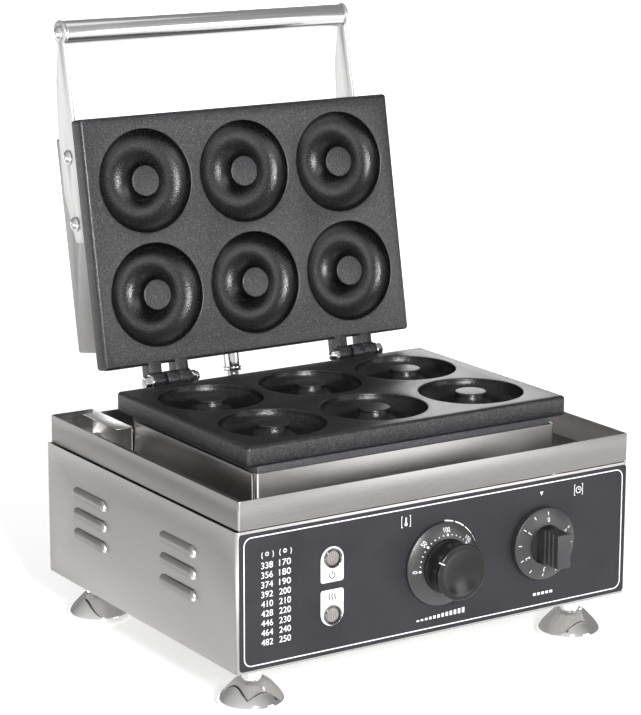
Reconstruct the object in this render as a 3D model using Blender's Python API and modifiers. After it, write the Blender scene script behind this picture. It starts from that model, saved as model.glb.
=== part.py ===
# Mini donut maker with a hinged lid: six ring cavities in the lower plate and six in the lid's.
# Metres, +Z up, feet on z = 0. Base pieces are placed from the casing's centre line,
# panel pieces from the front wall, and lid pieces from the hinge axis as if the lid were shut.

import math

import bmesh
import bpy
from mathutils import Matrix, Vector

# Casing
casing_width = 0.376
casing_depth = 0.310
casing_height = 0.113
casing_centre_y = -0.0175
sheet_wall = 0.0012
casing_bend = 0.0025
seat_gap = 0.0003
cut_overrun = 0.002
weld_distance = 0.00001

# Feet
foot_height = 0.040
foot_side_inset = 0.0322
foot_front_inset = 0.032
foot_back_inset = 0.0276
foot_rim_radius = 0.0253
foot_rim_height = 0.0065
foot_base_radius = 0.0222
foot_stem_radius = 0.0072
foot_bell_height = 0.027
foot_stud_radius = 0.004
foot_stud_length = 0.012

# Side louvres
louvre_length = 0.057
louvre_height = 0.0085
louvre_out = 0.0042
louvre_top_height = 0.0778
louvre_pitch = 0.0177
louvre_rows = 3
louvre_front_y = -0.0654
louvre_back_y = 0.0806

# Base plate, back panel and deck
base_rim_height = 0.008
back_flange = 0.014
back_slot_width = 0.0035
back_slot_height = 0.026
back_slot_pitch = 0.0115
back_slot_count = 10
back_slot_centre_height = 0.070
deck_border = 0.008
deck_rise = 0.0036
deck_proud = 0.0016
deck_hole_radius = 0.012

# Drip tray with its collar
tray_side_inset = 0.0013
tray_front_overhang = 0.0009
tray_back_inset = 0.0037
tray_wall_height = 0.0225
tray_wall = 0.001
tray_bend = 0.002
tray_back_hem = 0.0013
collar_half_width = 0.1457
collar_front_y = -0.1119
collar_height = 0.0271
collar_step_y = 0.0795
collar_low_height = 0.0171
collar_end_clearance = 0.0008
collar_slit = 0.0018
collar_front_return = 0.008
collar_bend = 0.0025

# Well frame behind the pan
well_side_gap = 0.0009
well_front_y = 0.0808
well_back_gap = 0.0112
well_height = 0.0222
well_flange = 0.0141

# Heater pan and its posts
pan_clearance = 0.0022
pan_front_gap = 0.0024
pan_back_y = 0.0905
pan_height = 0.0277
pan_bend = 0.004
post_height = 0.0050
post_radius = 0.007
post_inset = 0.0275
post_front_y = -0.085
post_back_y = 0.068

# Cooking plates
plate_half_width = 0.1534
plate_front_y = -0.1149
plate_back_y = 0.0956
plate_thickness = 0.0169
plate_corner = 0.003
plate_edge = 0.0008
plate_gap = 0.001
cavity_pitch_x = 0.0968
cavity_pitch_y = 0.0964
cavity_centre_y = -0.011
cavity_radius = 0.0435
boss_radius = 0.01325
cavity_depth = 0.0122
cavity_steps = 20
groove_segments = 6

# Heating elements, clamps and insulation
heater_radius = 0.0033
heater_side_margin = 0.0235
heater_front_y = -0.086
heater_back_y = 0.058
heater_lead_x = 0.020
heater_lead_y = 0.077
heater_bend = 0.009
clamp_thickness = 0.002
clamp_side_margin = 0.0115
clamp_front_y = -0.098
clamp_back_y = 0.070
insulation_inset = 0.006

# Hinge
hinge_y = 0.1096
hinge_below_gap_top = 0.0014
lid_open_angle = math.radians(100.8)
knuckle_radius = 0.0075
knuckle_inner_x = 0.0747
knuckle_width = 0.012
knuckle_space = 0.0009
ear_depth = 0.0125
base_web_depth = 0.0085
bolt_radius = 0.003
bolt_clearance = 0.0003
bolt_head_radius = 0.0056
bolt_head_height = 0.0055
washer_radius = 0.0064
washer_thickness = 0.0012
nut_hex_height = 0.0045
nut_dome_radius = 0.0046
nut_bore_depth = 0.0065

# Lid cover
cover_half_width = 0.1395
cover_front_y = -0.1023
cover_back_y = 0.0825
cover_height = 0.058
cover_bend = 0.0022

# Lid arms, grip bar and screws
arm_thickness = 0.0022
arm_root_low = 0.033
arm_root_high = 0.0645
arm_root_back_y = -0.012
arm_root_shoulder_y = -0.055
arm_root_back_high = 0.0525
arm_root_front_y = -0.1025
arm_mid_y = -0.1500
arm_mid_high = 0.0577
arm_neck_y = -0.1767
arm_neck_low = 0.0332
arm_neck_high = 0.0505
arm_root_corner = 0.004
arm_end_radius = 0.011
arm_screw_front_y = -0.0852
arm_screw_back_y = -0.0284
arm_screw_height = 0.049
bar_y = -0.1897
bar_height = 0.0418
bar_radius = 0.0102
bar_edge = 0.0008
bar_bore_depth = 0.012
screw_head_radius = 0.0063
screw_head_height = 0.0036
screw_shank_radius = 0.0021
screw_shank_length = 0.0085

# Heating lead of the lid
ferrule_height = 0.055
ferrule_length = 0.0322
ferrule_radius = 0.0078
ferrule_ring_radius = 0.0086
ferrule_ring_width = 0.004
ferrule_flange_radius = 0.0125
ferrule_flange_thickness = 0.0016
ferrule_bore_radius = 0.0052
hose_radius = 0.0055
conduit_gland_height = 0.060
gland_reach = 0.010
gland_nut_radius = 0.0125
gland_nut_height = 0.0055
gland_body_radius = 0.0088
gland_bore_radius = 0.0052
gland_inside = 0.006
mains_gland_inset = 0.068
mains_gland_height = 0.064
mains_gland_radius = 0.0080
mains_gland_bore = 0.0040
mains_gland_reach = 0.014

# Front overlay and what is mounted on the front wall
overlay_inset = 0.002
overlay_thickness = 0.0005
overlay_corner = 0.0025
thermostat_x = 0.0
thermostat_height = 0.0578
scale_ring_radius = 0.034
scale_ring_thickness = 0.0072
scale_ring_edge = 0.0006
knob_base_radius = 0.0222
knob_waist_radius = 0.0198
knob_waist_height = 0.0165
knob_face_radius = 0.0229
knob_face_height = 0.0300
knob_rim = 0.0016
knob_dish_radius = 0.0165
knob_dish_depth = 0.0026
knob_rest_angle = math.radians(62)
timer_inset = 0.0893
timer_height = 0.0588
dial_radius = 0.030
dial_face_radius = 0.0287
dial_thickness = 0.0085
dial_recess_radius = 0.016
dial_recess_depth = 0.005
grip_half_width = 0.0065
grip_half_height = 0.014
grip_face_height = 0.0322
grip_corner = 0.0022
grip_groove_depth = 0.0009
grip_groove_width = 0.0012
grip_groove_pitch = 0.0062
spindle_radius = 0.003
spindle_clearance = 0.0003
spindle_in_knob = 0.0120
spindle_in_body = 0.0085
thermostat_body_half = 0.0175
thermostat_body_depth = 0.030
timer_body_half_width = 0.024
timer_body_half_height = 0.020
timer_body_depth = 0.034
lamp_inset = 0.0853
power_lamp_height = 0.0797
heat_lamp_height = 0.0337
bezel_radius = 0.0079
bezel_inner_radius = 0.0065
bezel_thickness = 0.0024
bezel_edge = 0.0007
lamp_body_radius = 0.0071
lamp_length = 0.014
lens_recess = 0.0006
lens_crown = 0.0012

# Terminal block and base screws
terminal_half_width = 0.030
terminal_half_depth = 0.011
terminal_height = 0.018
terminal_x = 0.040
terminal_y = 0.095
terminal_bores = 3
terminal_bore_radius = 0.0026
terminal_bore_depth = 0.008
terminal_bore_pitch = 0.018
base_screw_inset = 0.0464
base_screw_middle_x = -0.009
base_screw_edge = 0.0075
base_screw_head_radius = 0.0042
base_screw_head_height = 0.0018
base_screw_shank_radius = 0.0017
base_screw_length = 0.006

# Heights and half sizes that follow from the sizes above
casing_half = casing_width / 2
casing_front_y = -casing_depth / 2
casing_back_y = casing_depth / 2
foot_x = casing_half - foot_side_inset
foot_front_y = casing_front_y + foot_front_inset
foot_back_y = casing_back_y - foot_back_inset
tray_half_width = casing_half - tray_side_inset
tray_front_y = casing_front_y - tray_front_overhang
tray_back_y = casing_back_y - tray_back_inset
tray_back_end_x = collar_half_width + tray_back_hem
well_back_y = tray_back_y - well_back_gap
mains_gland_x = mains_gland_inset - casing_half
timer_x = casing_half - timer_inset
lamp_x = lamp_inset - casing_half
base_screw_xs = (base_screw_inset - casing_half, base_screw_middle_x)
casing_low = foot_height
casing_top = casing_low + casing_height
inside_half = casing_half - sheet_wall - seat_gap
base_half = inside_half - sheet_wall - seat_gap
inside_front_y = casing_front_y + sheet_wall + seat_gap
inside_back_y = casing_back_y - sheet_wall - seat_gap
collar_end_y = well_back_y - tray_wall - collar_end_clearance
deck_top = casing_top + deck_proud
tray_floor = deck_top + seat_gap
tray_top = tray_floor + tray_wall_height
well_low = tray_floor + tray_wall + seat_gap
well_half = collar_half_width + well_side_gap + tray_wall
pan_low = deck_top + seat_gap + post_height + seat_gap
pan_top = pan_low + pan_height
pan_half = collar_half_width - tray_wall - pan_clearance
pan_front_y = collar_front_y + pan_front_gap
post_x = pan_half - post_inset
plate_low = pan_top + seat_gap
plate_top = plate_low + plate_thickness
lid_face = plate_top + plate_gap
hinge_z = lid_face - hinge_below_gap_top
cover_low = lid_face + plate_thickness + seat_gap
overlay_face = seat_gap + overlay_thickness
ring_face = overlay_face + seat_gap + scale_ring_thickness
knob_low = ring_face + seat_gap
dial_low = overlay_face + seat_gap

# Hose from the gland to the lid's ferrule, chosen by hand: distance behind the casing's back wall
# for the lower run and behind the casing's centre for the upper run, and height
hose_lower_route = [
    (0.01033, 0.06000),
    (0.01450, 0.06000),
    (0.0295, 0.0637),
    (0.0435, 0.0740),
    (0.0532, 0.0893),
    (0.0566, 0.1072),
]
hose_upper_route = [
    (0.2077, 0.1245),
    (0.1965, 0.1385),
    (0.1818, 0.1497),
    (0.1700, 0.1617),
    (0.1641, 0.1745),
    (0.16306, 0.18390),
    (0.16399, 0.18883),
]

finishes = {
    "brushed_steel": ((0.52, 0.50, 0.48, 1), 0.36, 1.0),
    "tray_steel": ((0.60, 0.59, 0.57, 1), 0.32, 1.0),
    "inner_steel": ((0.42, 0.41, 0.40, 1), 0.45, 1.0),
    "pan_steel": ((0.12, 0.12, 0.13, 1), 0.42, 1.0),
    "coated_plate": ((0.035, 0.034, 0.036, 1), 0.48, 0.3),
    "overlay_print": ((0.065, 0.063, 0.075, 1), 0.55, 0.0),
    "knob_plastic": ((0.03, 0.03, 0.032, 1), 0.35, 0.0),
    "chrome": ((0.78, 0.78, 0.78, 1), 0.12, 1.0),
    "bar_chrome": ((0.70, 0.70, 0.71, 1), 0.2, 1.0),
    "lens_plastic": ((0.42, 0.40, 0.39, 1), 0.4, 0.0),
    "heater_sheath": ((0.30, 0.28, 0.27, 1), 0.5, 1.0),
    "insulation_board": ((0.80, 0.79, 0.75, 1), 0.9, 0.0),
    "inner_plastic": ((0.10, 0.10, 0.11, 1), 0.5, 0.0),
    "terminal_ceramic": ((0.86, 0.84, 0.78, 1), 0.4, 0.0),
    "hose_metal": ((0.55, 0.55, 0.56, 1), 0.25, 1.0),
}


def clear_scene():
    for thing in list(bpy.data.objects):
        bpy.data.objects.remove(thing, do_unlink=True)


def new_collection(name):
    group = bpy.data.collections.new(name)
    bpy.context.scene.collection.children.link(group)
    return group


def finish_material(finish):
    if finish in bpy.data.materials:
        return bpy.data.materials[finish]
    colour, roughness, metallic = finishes[finish]
    material = bpy.data.materials.new(finish)
    material.use_nodes = True
    shader = material.node_tree.nodes["Principled BSDF"]
    shader.inputs["Base Color"].default_value = colour
    shader.inputs["Roughness"].default_value = roughness
    shader.inputs["Metallic"].default_value = metallic
    return material


def add_empty(name, place, turn=(0, 0, 0), parent=None):
    empty = bpy.data.objects.new(name, None)
    parts.objects.link(empty)
    empty.parent = parent
    empty.location = place
    empty.rotation_euler = turn
    return empty


# A piece when it has a finish, otherwise a cutter or a form to be joined
def add_object(name, data, parent, place=(0, 0, 0), turn=(0, 0, 0), finish=None):
    thing = bpy.data.objects.new(name, data)
    thing.parent = parent
    thing.location = place
    thing.rotation_euler = turn
    if finish:
        parts.objects.link(thing)
        data.materials.append(finish_material(finish))
    else:
        cutters.objects.link(thing)
        thing.hide_render = True
        thing.display_type = "WIRE"
    return thing


def mesh_from(form, name):
    mesh = bpy.data.meshes.new(name)
    form.to_mesh(mesh)
    form.free()
    return mesh


def smooth(thing):
    thing.data.shade_smooth()
    thing.data.set_sharp_from_angle(angle=math.radians(35))


def round_edges(thing, width, segments=2, least_angle=math.radians(40)):
    bevel = thing.modifiers.new("Rounding", "BEVEL")
    bevel.width = width
    bevel.segments = segments
    bevel.limit_method = "ANGLE"
    bevel.angle_limit = least_angle


def thicken(thing, wall):
    solidify = thing.modifiers.new("Wall", "SOLIDIFY")
    solidify.thickness = wall
    solidify.offset = -1
    solidify.use_even_offset = True


def combine(thing, tools, operation):
    for tool in tools:
        step = thing.modifiers.new(operation.title(), "BOOLEAN")
        step.operation = operation
        step.solver = "EXACT"
        step.object = tool


def cut(thing, *tools):
    combine(thing, tools, "DIFFERENCE")


def join(thing, *tools):
    combine(thing, tools, "UNION")


def cube_between(form, low, high):
    low = Vector(low)
    high = Vector(high)
    size = high - low
    place = Matrix.Translation((low + high) / 2) @ Matrix.Diagonal((*size, 1))
    return bmesh.ops.create_cube(form, size=1, matrix=place)["verts"]


def block(name, low, high, parent, finish=None, rounding=0, segments=2, corner=0):
    low = Vector(low)
    high = Vector(high)
    middle = (low + high) / 2
    form = bmesh.new()
    cube_between(form, low - middle, high - middle)
    if corner:
        uprights = [edge for edge in form.edges if abs(edge.verts[0].co.z - edge.verts[1].co.z) > corner]
        bmesh.ops.bevel(form, geom=uprights, offset=corner, segments=3, profile=0.5, affect="EDGES")
    thing = add_object(name, mesh_from(form, name), parent, middle, finish=finish)
    if rounding:
        round_edges(thing, rounding, segments)
    return thing


# A box of sheet with one open side, its wall inside the given corners
def open_box(name, low, high, wall, bend, parent, finish, open_up):
    low = Vector(low)
    high = Vector(high)
    middle = (low + high) / 2
    form = bmesh.new()
    cube_between(form, low - middle, high - middle)
    form.faces.ensure_lookup_table()
    open_side = max(form.faces, key=lambda face: face.normal.z if open_up else -face.normal.z)
    bmesh.ops.delete(form, geom=[open_side], context="FACES_ONLY")
    thing = add_object(name, mesh_from(form, name), parent, middle, finish=finish)
    round_edges(thing, bend)
    thicken(thing, wall)
    return thing


# An upright sheet that follows a path seen from above, its wall on the side towards the inner point
def bent_sheet(name, path, low, high, wall, bend, parent, finish=None, inner=(0, 0)):
    form = bmesh.new()
    corners = [form.verts.new((x, y, low)) for x, y in path]
    edges = [form.edges.new(pair) for pair in zip(corners, corners[1:])]
    raised = bmesh.ops.extrude_edge_only(form, edges=edges)["geom"]
    tops = [item for item in raised if isinstance(item, bmesh.types.BMVert)]
    bmesh.ops.translate(form, vec=(0, 0, high - low), verts=tops)
    form.normal_update()
    inner_point = Vector((*inner, (low + high) / 2))
    facing = sum(face.normal.dot(face.calc_center_median() - inner_point) for face in form.faces)
    if facing < 0:
        bmesh.ops.reverse_faces(form, faces=form.faces)
    thing = add_object(name, mesh_from(form, name), parent, finish=finish)
    if bend:
        round_edges(thing, bend, 3)
    thicken(thing, wall)
    return thing


# A turned piece: (radius, height) pairs from the top down its outer side
def turned(name, profile, parent, place=(0, 0, 0), turn=(0, 0, 0), finish=None, steps=20, ring=False):
    mesh = bpy.data.meshes.new(name)
    edges = [(index, index + 1) for index in range(len(profile) - 1)]
    if ring:
        edges.append((len(profile) - 1, 0))
    mesh.from_pydata([(radius, 0, height) for radius, height in profile], edges, [])
    thing = add_object(name, mesh, parent, place, turn, finish)
    screw = thing.modifiers.new("Turn", "SCREW")
    screw.steps = steps
    screw.render_steps = steps
    screw.use_merge_vertices = True
    screw.merge_threshold = weld_distance
    screw.use_smooth_shade = True
    return thing


def rod(name, radius, low, high, parent, place=(0, 0, 0), turn=(0, 0, 0), finish=None, sides=12):
    form = bmesh.new()
    bmesh.ops.create_cone(form, cap_ends=True, segments=sides, radius1=radius, radius2=radius,
                          depth=high - low)
    bmesh.ops.translate(form, vec=(0, 0, (low + high) / 2), verts=form.verts)
    thing = add_object(name, mesh_from(form, name), parent, place, turn, finish)
    smooth(thing)
    return thing


def curve_points(curve, points, cyclic):
    spline = curve.splines.new("POLY")
    spline.points.add(len(points) - 1)
    for point, place in zip(spline.points, points):
        point.co = (*place, 1)
    spline.use_cyclic_u = cyclic


def outline(name, points, thickness, parent, place=(0, 0, 0), turn=(0, 0, 0), finish=None):
    curve = bpy.data.curves.new(name, "CURVE")
    curve.dimensions = "2D"
    curve.fill_mode = "BOTH"
    curve.extrude = thickness / 2
    curve_points(curve, [(x, y, 0) for x, y in points], True)
    return as_mesh(add_object(name, curve, parent, place, turn, finish))


def tube(name, points, radius, parent, finish, resolution=2):
    curve = bpy.data.curves.new(name, "CURVE")
    curve.dimensions = "3D"
    curve.bevel_depth = radius
    curve.bevel_resolution = resolution
    curve.use_fill_caps = True
    curve_points(curve, points, False)
    return add_object(name, curve, parent, finish=finish)


# The evaluated form of a curve as a welded mesh in the curve's place
def as_mesh(drawn):
    bpy.context.view_layer.update()
    graph = bpy.context.evaluated_depsgraph_get()
    mesh = bpy.data.meshes.new_from_object(drawn.evaluated_get(graph))
    form = bmesh.new()
    form.from_mesh(mesh)
    bmesh.ops.remove_doubles(form, verts=form.verts, dist=weld_distance)
    form.to_mesh(mesh)
    form.free()
    name = drawn.name
    group = drawn.users_collection[0]
    solid = bpy.data.objects.new(name, mesh)
    solid.parent = drawn.parent
    group.objects.link(solid)
    solid.matrix_world = drawn.matrix_world
    solid.hide_render = drawn.hide_render
    solid.display_type = drawn.display_type
    bpy.data.objects.remove(drawn, do_unlink=True)
    solid.name = name
    return solid


def arc(centre, radius, start, end, steps):
    turns = [start + (end - start) * step / steps for step in range(steps + 1)]
    return [(centre[0] + radius * math.cos(turn), centre[1] + radius * math.sin(turn)) for turn in turns]


# A path with each inner corner replaced by an arc
def rounded_path(points, radius, steps=4):
    path = [points[0]]
    for before, corner, after in zip(points, points[1:], points[2:]):
        corner = Vector(corner)
        back = (Vector(before) - corner).normalized()
        ahead = (Vector(after) - corner).normalized()
        half_angle = back.angle(ahead) / 2
        reach = radius / math.tan(half_angle)
        first = corner + back * reach
        last = corner + ahead * reach
        middle = corner + (back + ahead).normalized() * radius / math.sin(half_angle)
        for step in range(steps + 1):
            share = step / steps
            chord = first.lerp(last, share)
            path.append(tuple(middle + (chord - middle).normalized() * radius))
    path.append(points[-1])
    return path


# Points of a smooth curve through a route whose first and last runs stay straight
def smooth_route(route, spans):
    points = [Vector(point) for point in route]
    curve = [points[0]]
    for before, start, end, after in zip(points, points[1:], points[2:], points[3:]):
        for step in range(spans):
            share = step / spans
            bend = (before * -1 + start * 3 - end * 3 + after) * share ** 3
            bend += (before * 2 - start * 5 + end * 4 - after) * share ** 2
            bend += (end - before) * share + start * 2
            curve.append(bend / 2)
    return curve + points[-2:]


def rounded_rectangle(half_width, low, high, corner, steps=3):
    quarter = math.pi / 2
    right = half_width - corner
    points = arc((right, high - corner), corner, 0, quarter, steps)
    points += arc((-right, high - corner), corner, quarter, 2 * quarter, steps)
    points += arc((-right, low + corner), corner, 2 * quarter, 3 * quarter, steps)
    points += arc((right, low + corner), corner, 3 * quarter, 4 * quarter, steps)
    return points


def louvre_forms(name, side, shrink, drop):
    form = bmesh.new()
    outer_x = side * (casing_half + louvre_out - shrink)
    inner_x = side * (casing_half - sheet_wall / 2 - drop)
    for centre_y in (louvre_front_y, louvre_back_y):
        for row in range(louvre_rows):
            low_z = casing_low + louvre_top_height - row * louvre_pitch
            half_length = louvre_length / 2 - shrink
            high_z = low_z + louvre_height - shrink
            low = (min(inner_x, outer_x), centre_y - half_length, low_z - drop)
            high = (max(inner_x, outer_x), centre_y + half_length, high_z)
            verts = cube_between(form, low, high)
            edges = {edge for vert in verts for edge in vert.link_edges}
            hood = []
            for edge in edges:
                ends = [vert.co for vert in edge.verts]
                outside = all(abs(end.x - outer_x) < weld_distance for end in ends)
                below = all(end.z < low_z + weld_distance for end in ends)
                if outside and not below:
                    hood.append(edge)
            bmesh.ops.bevel(form, geom=hood, offset=louvre_out - shrink, segments=2, profile=0.5,
                            affect="EDGES", clamp_overlap=True)
    return add_object(name, mesh_from(form, name), base_frame)


def make_casing_wrap():
    path = [(-casing_half, casing_back_y), (-casing_half, casing_front_y),
            (casing_half, casing_front_y), (casing_half, casing_back_y)]
    wrap = bent_sheet("casing_wrap", path, casing_low, casing_top, sheet_wall, casing_bend,
                      base_frame, "brushed_steel")
    for side, word in ((-1, "left"), (1, "right")):
        join(wrap, louvre_forms("louvre_hoods_" + word, side, 0, 0))
        cut(wrap, louvre_forms("louvre_hollows_" + word, side, sheet_wall, cut_overrun))
    cut(wrap, *panel_holes("wall", spindle_radius + 2 * spindle_clearance, lamp_body_radius + seat_gap))
    smooth(wrap)


# Holes through the front wall or the overlay, for two spindles and two lamps
def panel_holes(layer, spindle_hole, lamp_hole):
    places = [("thermostat", thermostat_x, thermostat_height, spindle_hole),
              ("timer", timer_x, timer_height, spindle_hole),
              ("power", lamp_x, power_lamp_height, lamp_hole),
              ("heat", lamp_x, heat_lamp_height, lamp_hole)]
    holes = []
    for word, x, height, radius in places:
        holes.append(rod(layer + "_hole_" + word, radius, -sheet_wall - cut_overrun,
                         overlay_face + cut_overrun, panel_frame, (x, height, 0)))
    return holes


def make_front_overlay():
    points = rounded_rectangle(casing_half - overlay_inset, overlay_inset,
                               casing_height - overlay_inset, overlay_corner)
    middle = seat_gap + overlay_thickness / 2
    overlay = outline("front_overlay", points, overlay_thickness, panel_frame, (0, 0, middle),
                      finish="overlay_print")
    cut(overlay, *panel_holes("overlay", spindle_radius + 2 * spindle_clearance,
                              lamp_body_radius + seat_gap))


def make_base_plate():
    base = open_box("base_plate", (-base_half, inside_front_y, casing_low),
                    (base_half, inside_back_y, casing_low + base_rim_height),
                    sheet_wall, sheet_wall * 2, base_frame, "inner_steel", True)
    for x in (-foot_x, foot_x):
        for y in (foot_front_y, foot_back_y):
            cut(base, rod("foot_hole", foot_stud_radius + seat_gap, casing_low - cut_overrun,
                          casing_low + sheet_wall + cut_overrun, base_frame, (x, y, 0)))
    for x, y in base_screw_places():
        cut(base, rod("base_screw_hole", base_screw_shank_radius + seat_gap, casing_low - cut_overrun,
                      casing_low + sheet_wall + cut_overrun, base_frame, (x, y, 0), sides=10))


def base_screw_places():
    front = inside_front_y + base_screw_edge
    back = inside_back_y - base_screw_edge
    return [(x, y) for y in (front, back) for x in base_screw_xs]


def make_back_panel():
    front_of_flange = casing_back_y - back_flange
    path = [(-inside_half, front_of_flange), (-inside_half, casing_back_y),
            (inside_half, casing_back_y), (inside_half, front_of_flange)]
    panel = bent_sheet("back_panel", path, casing_low, casing_top, sheet_wall,
                       casing_bend, base_frame, "brushed_steel")
    slots = bmesh.new()
    middle_z = casing_low + back_slot_centre_height
    for index in range(back_slot_count):
        x = (index - (back_slot_count - 1) / 2) * back_slot_pitch
        half = back_slot_width / 2
        cube_between(slots, (x - half, inside_back_y - cut_overrun, middle_z - back_slot_height / 2),
                     (x + half, casing_back_y + cut_overrun, middle_z + back_slot_height / 2))
    cut(panel, add_object("back_slots", mesh_from(slots, "back_slots"), base_frame))
    places = [("conduit", 0, conduit_gland_height, gland_body_radius),
              ("mains", -mains_gland_x, mains_gland_height, mains_gland_radius)]
    for word, x, height, radius in places:
        cut(panel, rod("back_hole_" + word, radius + seat_gap, -sheet_wall - cut_overrun, cut_overrun,
                       back_frame, (x, height, 0)))
    smooth(panel)


def make_top_deck():
    form = bmesh.new()
    low_z = deck_top - deck_rise
    corners = [(-base_half, inside_front_y, low_z), (base_half, inside_front_y, low_z),
               (base_half, inside_back_y, low_z), (-base_half, inside_back_y, low_z)]
    plateau = form.faces.new([form.verts.new(corner) for corner in corners])
    form.normal_update()
    bmesh.ops.inset_region(form, faces=[plateau], thickness=deck_border, use_even_offset=True)
    bmesh.ops.inset_region(form, faces=[plateau], thickness=deck_rise, depth=deck_rise,
                           use_even_offset=True)
    deck = add_object("top_deck", mesh_from(form, "top_deck"), base_frame, finish="inner_steel")
    thicken(deck, sheet_wall)
    cut(deck, rod("deck_hole", deck_hole_radius, deck_top - sheet_wall - cut_overrun,
                  deck_top + cut_overrun, base_frame, (0, pan_back_y - deck_border * 2, 0), sides=12))


def make_drip_tray():
    inset = tray_wall / 2
    floor_top = tray_floor + tray_wall
    tray = block("drip_tray", (-tray_half_width + inset, tray_front_y + inset, tray_floor),
                 (tray_half_width - inset, tray_back_y - inset, floor_top), base_frame, "tray_steel")
    cut(tray, block("tray_well", (-collar_half_width + tray_wall * 2, collar_front_y + collar_front_return,
                                  tray_floor - cut_overrun),
                    (collar_half_width - tray_wall * 2, collar_end_y - tray_wall,
                     floor_top + cut_overrun), base_frame))
    wall_path = [(-tray_back_end_x, tray_back_y), (-tray_half_width, tray_back_y),
                 (-tray_half_width, tray_front_y), (tray_half_width, tray_front_y),
                 (tray_half_width, tray_back_y), (tray_back_end_x, tray_back_y)]
    join(tray, bent_sheet("tray_wall", wall_path, tray_floor - seat_gap / 2, tray_top, tray_wall,
                          tray_bend, base_frame))
    front_half = collar_half_width - tray_wall - seat_gap * 2
    collar_low = tray_floor + tray_wall / 2
    collar_top = tray_floor + collar_height
    return_y = collar_front_y + collar_front_return + tray_wall
    front_path = [(-front_half, return_y), (-front_half, collar_front_y),
                  (front_half, collar_front_y), (front_half, return_y)]
    join(tray, bent_sheet("collar_front", front_path, collar_low, collar_top, tray_wall,
                          collar_bend, base_frame))
    for side in (-1, 1):
        inner_x = side * (collar_half_width - tray_wall)
        outer_x = side * collar_half_width
        low_x = min(inner_x, outer_x)
        high_x = max(inner_x, outer_x)
        join(tray, block("collar_side", (low_x, collar_front_y + collar_bend + collar_slit, collar_low),
                         (high_x, collar_step_y, collar_top), base_frame))
        join(tray, block("collar_low_side", (low_x, collar_step_y - tray_wall, collar_low),
                         (high_x, collar_end_y, tray_floor + collar_low_height), base_frame))
    smooth(tray)


def make_well_frame():
    path = [(-well_half, well_front_y), (-well_half, well_back_y),
            (well_half, well_back_y), (well_half, well_front_y)]
    top = tray_floor + well_height
    frame = bent_sheet("well_frame", path, well_low, top, tray_wall, 0, base_frame, "tray_steel")
    for side in (-1, 1):
        inner_x = side * (well_half - tray_wall / 2)
        outer_x = side * (well_half + well_flange)
        join(frame, block("well_flange", (min(inner_x, outer_x), well_front_y, top - tray_wall),
                          (max(inner_x, outer_x), well_back_y, top), base_frame))


def make_heater_pan():
    pan = open_box("heater_pan", (-pan_half, pan_front_y, pan_low), (pan_half, pan_back_y, pan_top),
                   tray_wall, pan_bend, base_frame, "pan_steel", True)
    smooth(pan)
    for x, x_word in ((-post_x, "left"), (post_x, "right")):
        for y, y_word in ((post_front_y, "front"), (post_back_y, "back")):
            rod("pan_post_" + y_word + "_" + x_word, post_radius, 0, post_height, base_frame,
                (x, y, deck_top + seat_gap), finish="chrome")


# Half of the ring section that the batter fills, from the outer edge to the boss
def groove_profile():
    middle = (cavity_radius + boss_radius) / 2
    half_width = (cavity_radius - boss_radius) / 2
    profile = [(cavity_radius, cut_overrun)]
    for step in range(groove_segments + 1):
        turn = math.pi * step / groove_segments
        profile.append((middle + half_width * math.cos(turn), -cavity_depth * math.sin(turn)))
    profile.append((boss_radius, cut_overrun))
    return profile


# A cast plate with six ring cavities. The face is at the given height and looks up or down
def make_plate(name, parent, shift, face_z, looks_up, knuckle_xs, web_depth):
    away = -1 if looks_up else 1
    far_z = face_z + away * plate_thickness
    low = (-plate_half_width, plate_front_y + shift, min(face_z, far_z))
    high = (plate_half_width, plate_back_y + shift, max(face_z, far_z))
    plate = block(name, low, high, parent, "coated_plate", plate_edge, 1, plate_corner)
    for side in (-1, 1):
        for knuckle_x in knuckle_xs:
            add_knuckle(plate, name, parent, side * knuckle_x, shift, face_z, away, web_depth)
    turn = (0, 0, 0) if looks_up else (math.pi, 0, 0)
    for column in (-1, 0, 1):
        for row_share in (-0.5, 0.5):
            place = (column * cavity_pitch_x, cavity_centre_y + row_share * cavity_pitch_y + shift, face_z)
            cut(plate, turned(name + "_groove", groove_profile(), parent, place, turn,
                              steps=cavity_steps, ring=True))
    return plate


# A hinge knuckle on the plate's back edge, with its web and its bolt hole
def add_knuckle(plate, name, parent, x, shift, face_z, away, web_depth):
    half = knuckle_width / 2
    axis_y = hinge_y + shift
    axis_z = hinge_z if parent is base_frame else 0
    web_far = face_z + away * web_depth
    join(plate, block(name + "_web", (x - half, plate_back_y + shift - plate_edge * 3, min(face_z, web_far)),
                      (x + half, axis_y, max(face_z, web_far)), parent))
    along_x = (0, math.pi / 2, 0)
    join(plate, rod(name + "_knuckle", knuckle_radius, -half, half, parent, (x, axis_y, axis_z), along_x,
                    sides=20))
    cut(plate, rod(name + "_bolt_hole", bolt_radius + bolt_clearance, -half - cut_overrun / 4,
                   half + cut_overrun / 4, parent, (x, axis_y, axis_z), along_x))


def make_lower_plate():
    middle_x = knuckle_inner_x + knuckle_width * 1.5 + knuckle_space
    make_plate("lower_plate", base_frame, 0, plate_top, True, [middle_x], base_web_depth)


def make_upper_plate():
    inner_x = knuckle_inner_x + knuckle_width / 2
    outer_x = inner_x + 2 * (knuckle_width + knuckle_space)
    make_plate("upper_plate", lid_frame, -hinge_y, hinge_below_gap_top, False, [inner_x, outer_x], ear_depth)


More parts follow.
